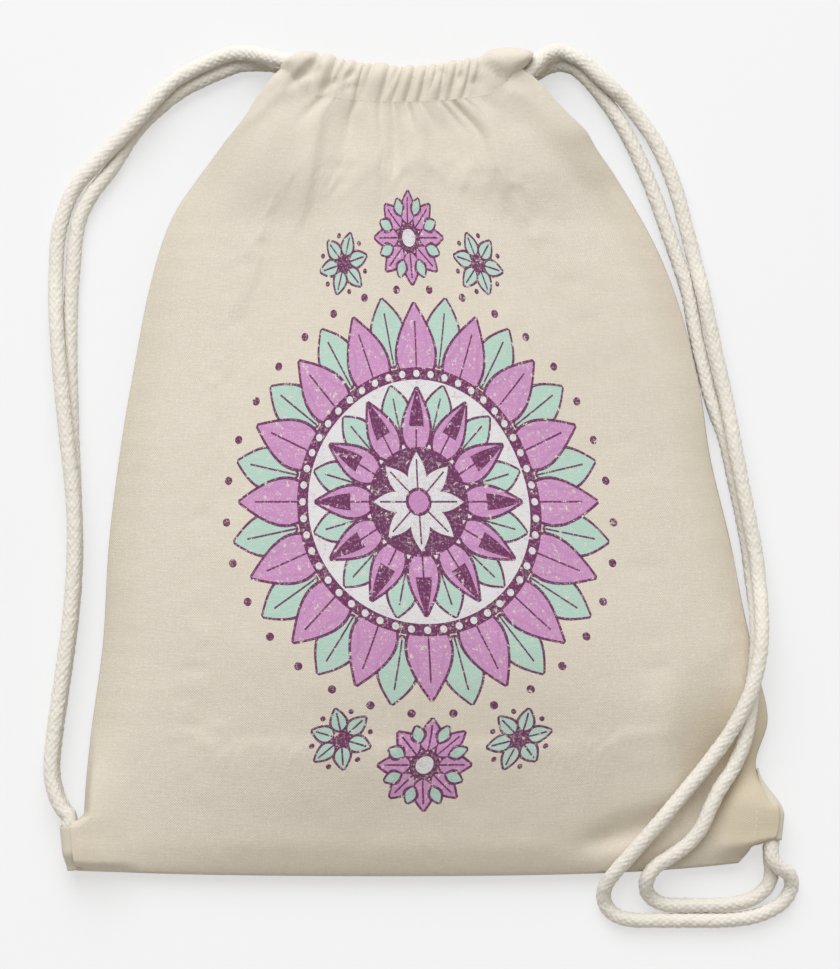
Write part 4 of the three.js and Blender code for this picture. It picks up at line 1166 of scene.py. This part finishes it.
wedge_shade = lerp(SHADE_WEDGE, SHADE_LOW_WEDGE, smoothstep(-y, 0.150, 0.170))
wedge *= lerp(wedge_shade, SHADE_CORNER, smoothstep(x, 0.140, 0.164))
painted_shade = np.concatenate([np.maximum(painted_shade, wedge), 0 * hem_points[..., 0]])
front.data.attributes.new("painted_shade", "FLOAT", "POINT").data.foreach_set(
    "value", painted_shade.astype(np.float32).ravel()
)
share_motion(front)
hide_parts("front_panel", "front_casing")


# The back: a second panel of the same canvas, unprinted, flat where it lies on the floor and turned up
# to the seams along its edges, with a tunnel hem of its own.
BACK_HEM_LEVEL = 0.00605
BACK_FLAT_TO = 0.8  # share of the half width that lies flat
BACK_FOOT = 0.07  # share of the length that turns up to the bottom seam
FLOOR_CLEAR = 0.0001
BACK_FOLD_ENDS = (-0.0690, 0.0530)
BACK_HEM_SWELL = 0.0008
BACK_TUNNEL = 0.0053  # half the depth of its tunnel
BACK_PUFF = 0.25  # its gathers, as a share of the front's
BACK_FLAT_SHIFT = (1.7, 0.9, 0)  # so that its yarns differ from the front's

x, y = plan(across, along)
lies_flat = (1 - smoothstep(np.abs(2 * across - 1), BACK_FLAT_TO, 1)) * smoothstep(along, 0, BACK_FOOT)
z = lerp(2 * FLOOR_CLEAR, SEAM_LEVEL - CLOTH, 1 - lies_flat)
z = lerp(z, BACK_HEM_LEVEL - TUNNEL, smoothstep(along, SLIT_FROM, 1))
back_rise = BACK_HEM_LEVEL - z[-1]
z -= BACK_PUFF * gathered
z += held * np.abs(0.0006 * crumple(x, y, 22, seed=3))
back_panel_points = np.stack([x, y, z], -1)
back_hem_points, _ = hem_rows(
    across[0], y[-1], back_rise, BACK_HEM_LEVEL, -1, BACK_TUNNEL, BACK_PUFF,
    ends=((x[-1, 0], BACK_FOLD_ENDS[0], x[-1, -1], BACK_FOLD_ENDS[1], BACK_HEM_SWELL), INNER_ENDS),
)
back_points = np.concatenate([back_panel_points, back_hem_points])
back_points[..., 2] = np.maximum(back_points[..., 2], FLOOR_CLEAR)
back_flat = flat_grid + np.array(BACK_FLAT_SHIFT)
back = cloth_object(
    "back_cloth", back_points, back_flat, canvas_cloth("back_canvas", printed=False), outward=False
)
thicken(back)
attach(back, "bag_back")
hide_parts("back_panel", "back_casing")


# The cords inside the hems: each comes in at one end, runs through the front tunnel, turns back in a
# bight at the far end and returns through the back tunnel to where it came in.
BIGHT_STRAIGHT = 0.0018


def lane_point(x, lane, level):
    height, slope = stitch_line(x)
    lean = math.hypot(1, slope)
    rise = HEM_ROOM + HEM_HEIGHT / 2
    return (x - lane * LANE * slope / lean, height + rise + lane * LANE / lean, level)


def add_hem_cord(side, lane, enters, turns_at):
    xs = np.linspace(enters, turns_at, 15)
    front_run = [lane_point(x, lane, FRONT_HEM_LEVEL) for x in xs]
    back_run = [lane_point(x, lane, BACK_HEM_LEVEL) for x in xs[::-1]]
    radius = (FRONT_HEM_LEVEL - BACK_HEM_LEVEL) / 2
    end = np.array(front_run[-1])
    way = end - np.array(front_run[-2])
    way /= np.linalg.norm(way)
    down = np.array((0, 0, -radius))
    bight = [
        end + way * (BIGHT_STRAIGHT + radius * math.sin(a)) + down * (1 - math.cos(a))
        for a in np.radians(np.linspace(0, 180, 9))
    ]
    piece = braid(f"{side}_hem_cord", [smooth_route([*front_run, *bight, *back_run], 6)], step=0.0009)
    share_motion(piece)
    nodes = ("front_run", "turn", "back_run")
    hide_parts(*(f"{side}_cord_{node}" for node in nodes))


add_hem_cord("left", 1, -0.0523, 0.037)
add_hem_cord("right", -1, 0.0375, -0.053)


# The seam allowances: the panels' raw edges, sewn together and overlocked, standing inside the bag as
# narrow double strips along the sides and the bottom.
ALLOWANCE = 0.008
ALLOWANCE_FROM = 0.0022  # inside the seam
ALLOWANCE_THICKNESS = 0.0010
STRIP_ROWS = 6

strip_canvas = canvas_cloth("seam_canvas", printed=False)


def add_allowance(node, edge_points, inward_points):
    depth = np.linspace(ALLOWANCE_FROM, ALLOWANCE, STRIP_ROWS)[:, None]
    way = inward_points - edge_points
    way = way / np.linalg.norm(way, axis=1)[:, None]
    run = lengths_along(edge_points)
    wave = 0.0002 * np.sin(run * 320)[None, :] * (depth / ALLOWANCE)
    spots = edge_points[None] + way[None] * depth[..., None]
    points = np.concatenate([spots, (SEAM_LEVEL + 0.0002 + wave)[..., None]], -1)
    flat = np.stack(np.broadcast_arrays(run[None, :], depth + 0.6, 0.0), -1)
    piece = cloth_object(node.replace("seam", "allowance"), points, flat, strip_canvas)
    thicken(piece, ALLOWANCE_THICKNESS, offset=0)
    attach(piece, "bag_back")
    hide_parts(node)


up_sides = np.linspace(0.06, 0.875, 160)
for node, s_edge, s_in in (("left_side_seam", 0.0, 0.1), ("right_side_seam", 1.0, 0.9)):
    edge_at = np.stack(plan(np.full_like(up_sides, s_edge), up_sides), -1)
    in_at = np.stack(plan(np.full_like(up_sides, s_in), up_sides), -1)
    add_allowance(node, edge_at, in_at)
over_bottom = np.linspace(0.05, 0.95, 150)
edge_at = np.stack(plan(over_bottom, np.zeros_like(over_bottom)), -1)
in_at = np.stack(plan(over_bottom, np.full_like(over_bottom, 0.05)), -1)
add_allowance("bottom_seam", edge_at, in_at)


# The corner tabs: short loops of cotton tape, folded round the cord ends and caught in the side seams.
TAB_STEP = 0.02
TAB_LENGTH = 0.016
TAPE = 0.0008
LOOP_HALF = 0.00485
TAB_REACH = 0.00715  # seam to the middle of the loop
TAB_LEVEL = 0.00905
LANES = 0.0039
TAB_ROOT = 0.0035  # length caught inside the seam
TAB_FOOT = {"left": 0.0070, "right": 0.019}  # flattened end past the cord
TAB_TAPER = {"left": 0.10, "right": 1.0}  # how much that end narrows
TAB_STAND = {"left": 0.50, "right": 0.25}  # share of the loop's height that it keeps
TAB_SLANT = {"left": -0.0055, "right": 0.0045}  # length added to the mouth beside the bag
TWILL_PER_METRE = 900
HERRINGBONE = 0.004  # width of one slant of the weave
TAPE_CLOTH = {
    "dark": (0.655, 0.592, 0.482, 1),
    "light": (0.735, 0.676, 0.570, 1),
    # painted shade in the grooves of the twill
    "groove_shade": (0.585, 0.520, 0.410, 1),
}


def tape_cloth():
    material, tree, shader, place, across, up = flat_cloth("tab_tape")
    slant = calc(tree, "ADD", across, calc(tree, "PINGPONG", up, HERRINGBONE))
    twill = calc(tree, "SINE", calc(tree, "MULTIPLY", slant, 2 * math.pi * TWILL_PER_METRE))
    fuzz = grain(tree, place, (900, 900, 1), detail=3)
    colour = stain(tree, fuzz, TAPE_CLOTH["dark"], TAPE_CLOTH["light"])
    # Painted shade: the tape is darker in the low grooves of the twill.
    groove_shade = calc(tree, "MULTIPLY_ADD", twill, -0.12, 0.14, clamp=True)
    colour = stain(tree, groove_shade, colour, TAPE_CLOTH["groove_shade"])
    shade(tree, shader, colour, calc(tree, "ADD", twill, fuzz), strength=0.5, distance=0.0003)
    return material


tape = tape_cloth()


def add_tab(side):
    s_edge, at = TAB_AT[side]
    middle = np.array(plan(s_edge, at))
    tangent = np.array(plan(s_edge, at + TAB_STEP)) - np.array(plan(s_edge, at - TAB_STEP))
    tangent /= np.linalg.norm(tangent)
    outward = np.array((tangent[1], -tangent[0])) * (1 if side == "right" else -1)
    radius = LOOP_HALF - TAPE / 2
    low, high = SEAM_LEVEL - TAB_LEVEL - TAPE * 0.6, SEAM_LEVEL - TAB_LEVEL + TAPE * 0.6
    section = [(-TAB_REACH - TAB_ROOT, low), (-TAB_REACH, low)]
    for degrees in range(238, 361, 10):
        turn = math.radians(degrees)
        section.append((radius * math.cos(turn), -LANES + radius * math.sin(turn)))
    for degrees in range(0, 118, 10):
        turn = math.radians(degrees)
        section.append((radius * math.cos(turn), LANES + radius * math.sin(turn)))
    section += [(-TAB_REACH, high + 0.0022), (-TAB_REACH - TAB_ROOT, high)]
    loop = smooth_route([(out, rise, 0) for out, rise in section], 4)
    run = lengths_along(loop)
    mouth = 1 if side == "left" else -1  # the end of the tab at which the cord comes in
    foot = TAB_FOOT[side]
    beside_bag = smoothstep(-loop[:, 0], 0.0, 0.0085)[:, None]
    mouth_end = TAB_LENGTH / 2 + TAB_SLANT[side] * beside_bag
    lengthwise = lerp(-TAB_LENGTH / 2 - foot, mouth_end, np.linspace(0, 1, 25)[None, :])
    flattened = 1 - smoothstep(lengthwise, -TAB_LENGTH / 2 - foot, -TAB_LENGTH / 2 + 0.0035)
    out = lerp(loop[:, 0][:, None], -TAB_REACH - TAB_ROOT, TAB_TAPER[side] * flattened)
    low_loop = SEAM_LEVEL - TAB_LEVEL + TAB_STAND[side] * (loop[:, 1][:, None] - SEAM_LEVEL + TAB_LEVEL)
    rise = lerp(loop[:, 1][:, None], low_loop, flattened)
    heart = middle + outward * TAB_REACH
    points = np.stack(
        [
            heart[0] + outward[0] * out + mouth * tangent[0] * lengthwise,
            heart[1] + outward[1] * out + mouth * tangent[1] * lengthwise,
            TAB_LEVEL + rise,
        ],
        -1,
    )
    flat = np.stack(np.broadcast_arrays(lengthwise, run[:, None], 0.0), -1)
    piece = cloth_object(f"{side}_tab", points, flat, tape, outward=True)
    thicken(piece, TAPE, offset=0)
    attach(piece, "bag_back")
    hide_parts(f"{side}_corner_tab")


for side in TAB_AT:
    add_tab(side)


# The sewing: single rows of cotton thread that hold the hems down and close the corners over the tabs,
# each stitch sunk halfway into the cloth.
STITCH_PITCH = 0.0031
STITCH_LENGTH = 0.0024
THREAD = 0.00042
STITCH_JITTER = 0.12
STITCH_SEED = 5
TAB_ROW_HALF = 0.007  # half the length of the row at a tab
TAB_ROW_COLUMN = {"left": 4, "right": -5}  # the line of the panel's grid that it follows
THREAD_COLOURS = ((0.665, 0.605, 0.505, 1), (0.780, 0.728, 0.640, 1))


def sewing_thread():
    material, tree, shader = cotton("sewing_thread")
    place = tree.nodes.new("ShaderNodeTexCoord").outputs["Object"]
    fibres = grain(tree, place, (2600, 2600, 2600), detail=3)
    shade(tree, shader, stain(tree, fibres, *THREAD_COLOURS), fibres, strength=0.5, distance=0.0001)
    return material


def stitch_tree():
    inputs = {"Path": "Geometry", "Seed": "Int", "Thread": "Material"}
    sizes = ("Pitch", "Length", "Thickness", "Jitter")
    inputs |= dict.fromkeys(sizes, "Float")
    tree, given, result = new_tree("Row of stitches", inputs, "Stitches")
    spots = tree.nodes.new("GeometryNodeCurveToPoints")
    spots.mode = "LENGTH"
    tie(tree, spots, Curve=given["Path"], Length=given["Pitch"])
    aim = tree.nodes.new("FunctionNodeAlignRotationToVector")
    aim.axis = "Z"
    tie(tree, aim, Vector=spots.outputs["Tangent"])
    uneven = tree.nodes.new("FunctionNodeRandomValue")
    uneven.data_type = "FLOAT"
    feed(tree, uneven.inputs[2], calc(tree, "SUBTRACT", 1.0, given["Jitter"]))
    feed(tree, uneven.inputs[3], 1.0)
    tie(tree, uneven, Seed=given["Seed"])
    half_thick = calc(tree, "MULTIPLY", given["Thickness"], 0.5)
    half_long = calc(tree, "MULTIPLY", calc(tree, "MULTIPLY", given["Length"], 0.5), uneven.outputs[1])
    size = add_node(tree, "ShaderNodeCombineXYZ", X=half_thick, Y=half_thick, Z=half_long)
    bead = add_node(tree, "GeometryNodeMeshUVSphere", Segments=8, Rings=8, Radius=1.0)
    row = tree.nodes.new("GeometryNodeInstanceOnPoints")
    tie(tree, row, Points=spots.outputs[0], Instance=bead.outputs[0])
    tie(tree, row, Rotation=aim.outputs[0], Scale=size.outputs[0])
    end_tree(tree, result, row.outputs[0], given["Thread"])
    return tree


stitches = stitch_tree()
thread = sewing_thread()


def sew(name, path):
    settings = {
        "Pitch": STITCH_PITCH,
        "Length": STITCH_LENGTH,
        "Thickness": THREAD,
        "Jitter": STITCH_JITTER,
        "Seed": STITCH_SEED,
        "Thread": thread,
    }
    piece = made_by(stitches, line_object(name, [path]), settings, name)
    return piece


hem_span = (column_shares > 0.02) & (column_shares < 0.98)
front_row = front_points[PANEL_ROWS - 1][hem_span]
hem_sewing = sew("front_hem_stitches", front_row)
share_motion(
    hem_sewing
)
back_row = back_points[PANEL_ROWS - 1][hem_span] + np.array((0, 0, CLOTH))
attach(sew("back_hem_stitches", back_row), "bag_back")
for side, column in TAB_ROW_COLUMN.items():
    off_root = np.abs(panel_points[:, column, 1] - plan(*TAB_AT[side])[1])
    tab_row = panel_points[off_root < TAB_ROW_HALF, column]
    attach(sew(f"{side}_tab_stitches", tab_row), "bag_back")
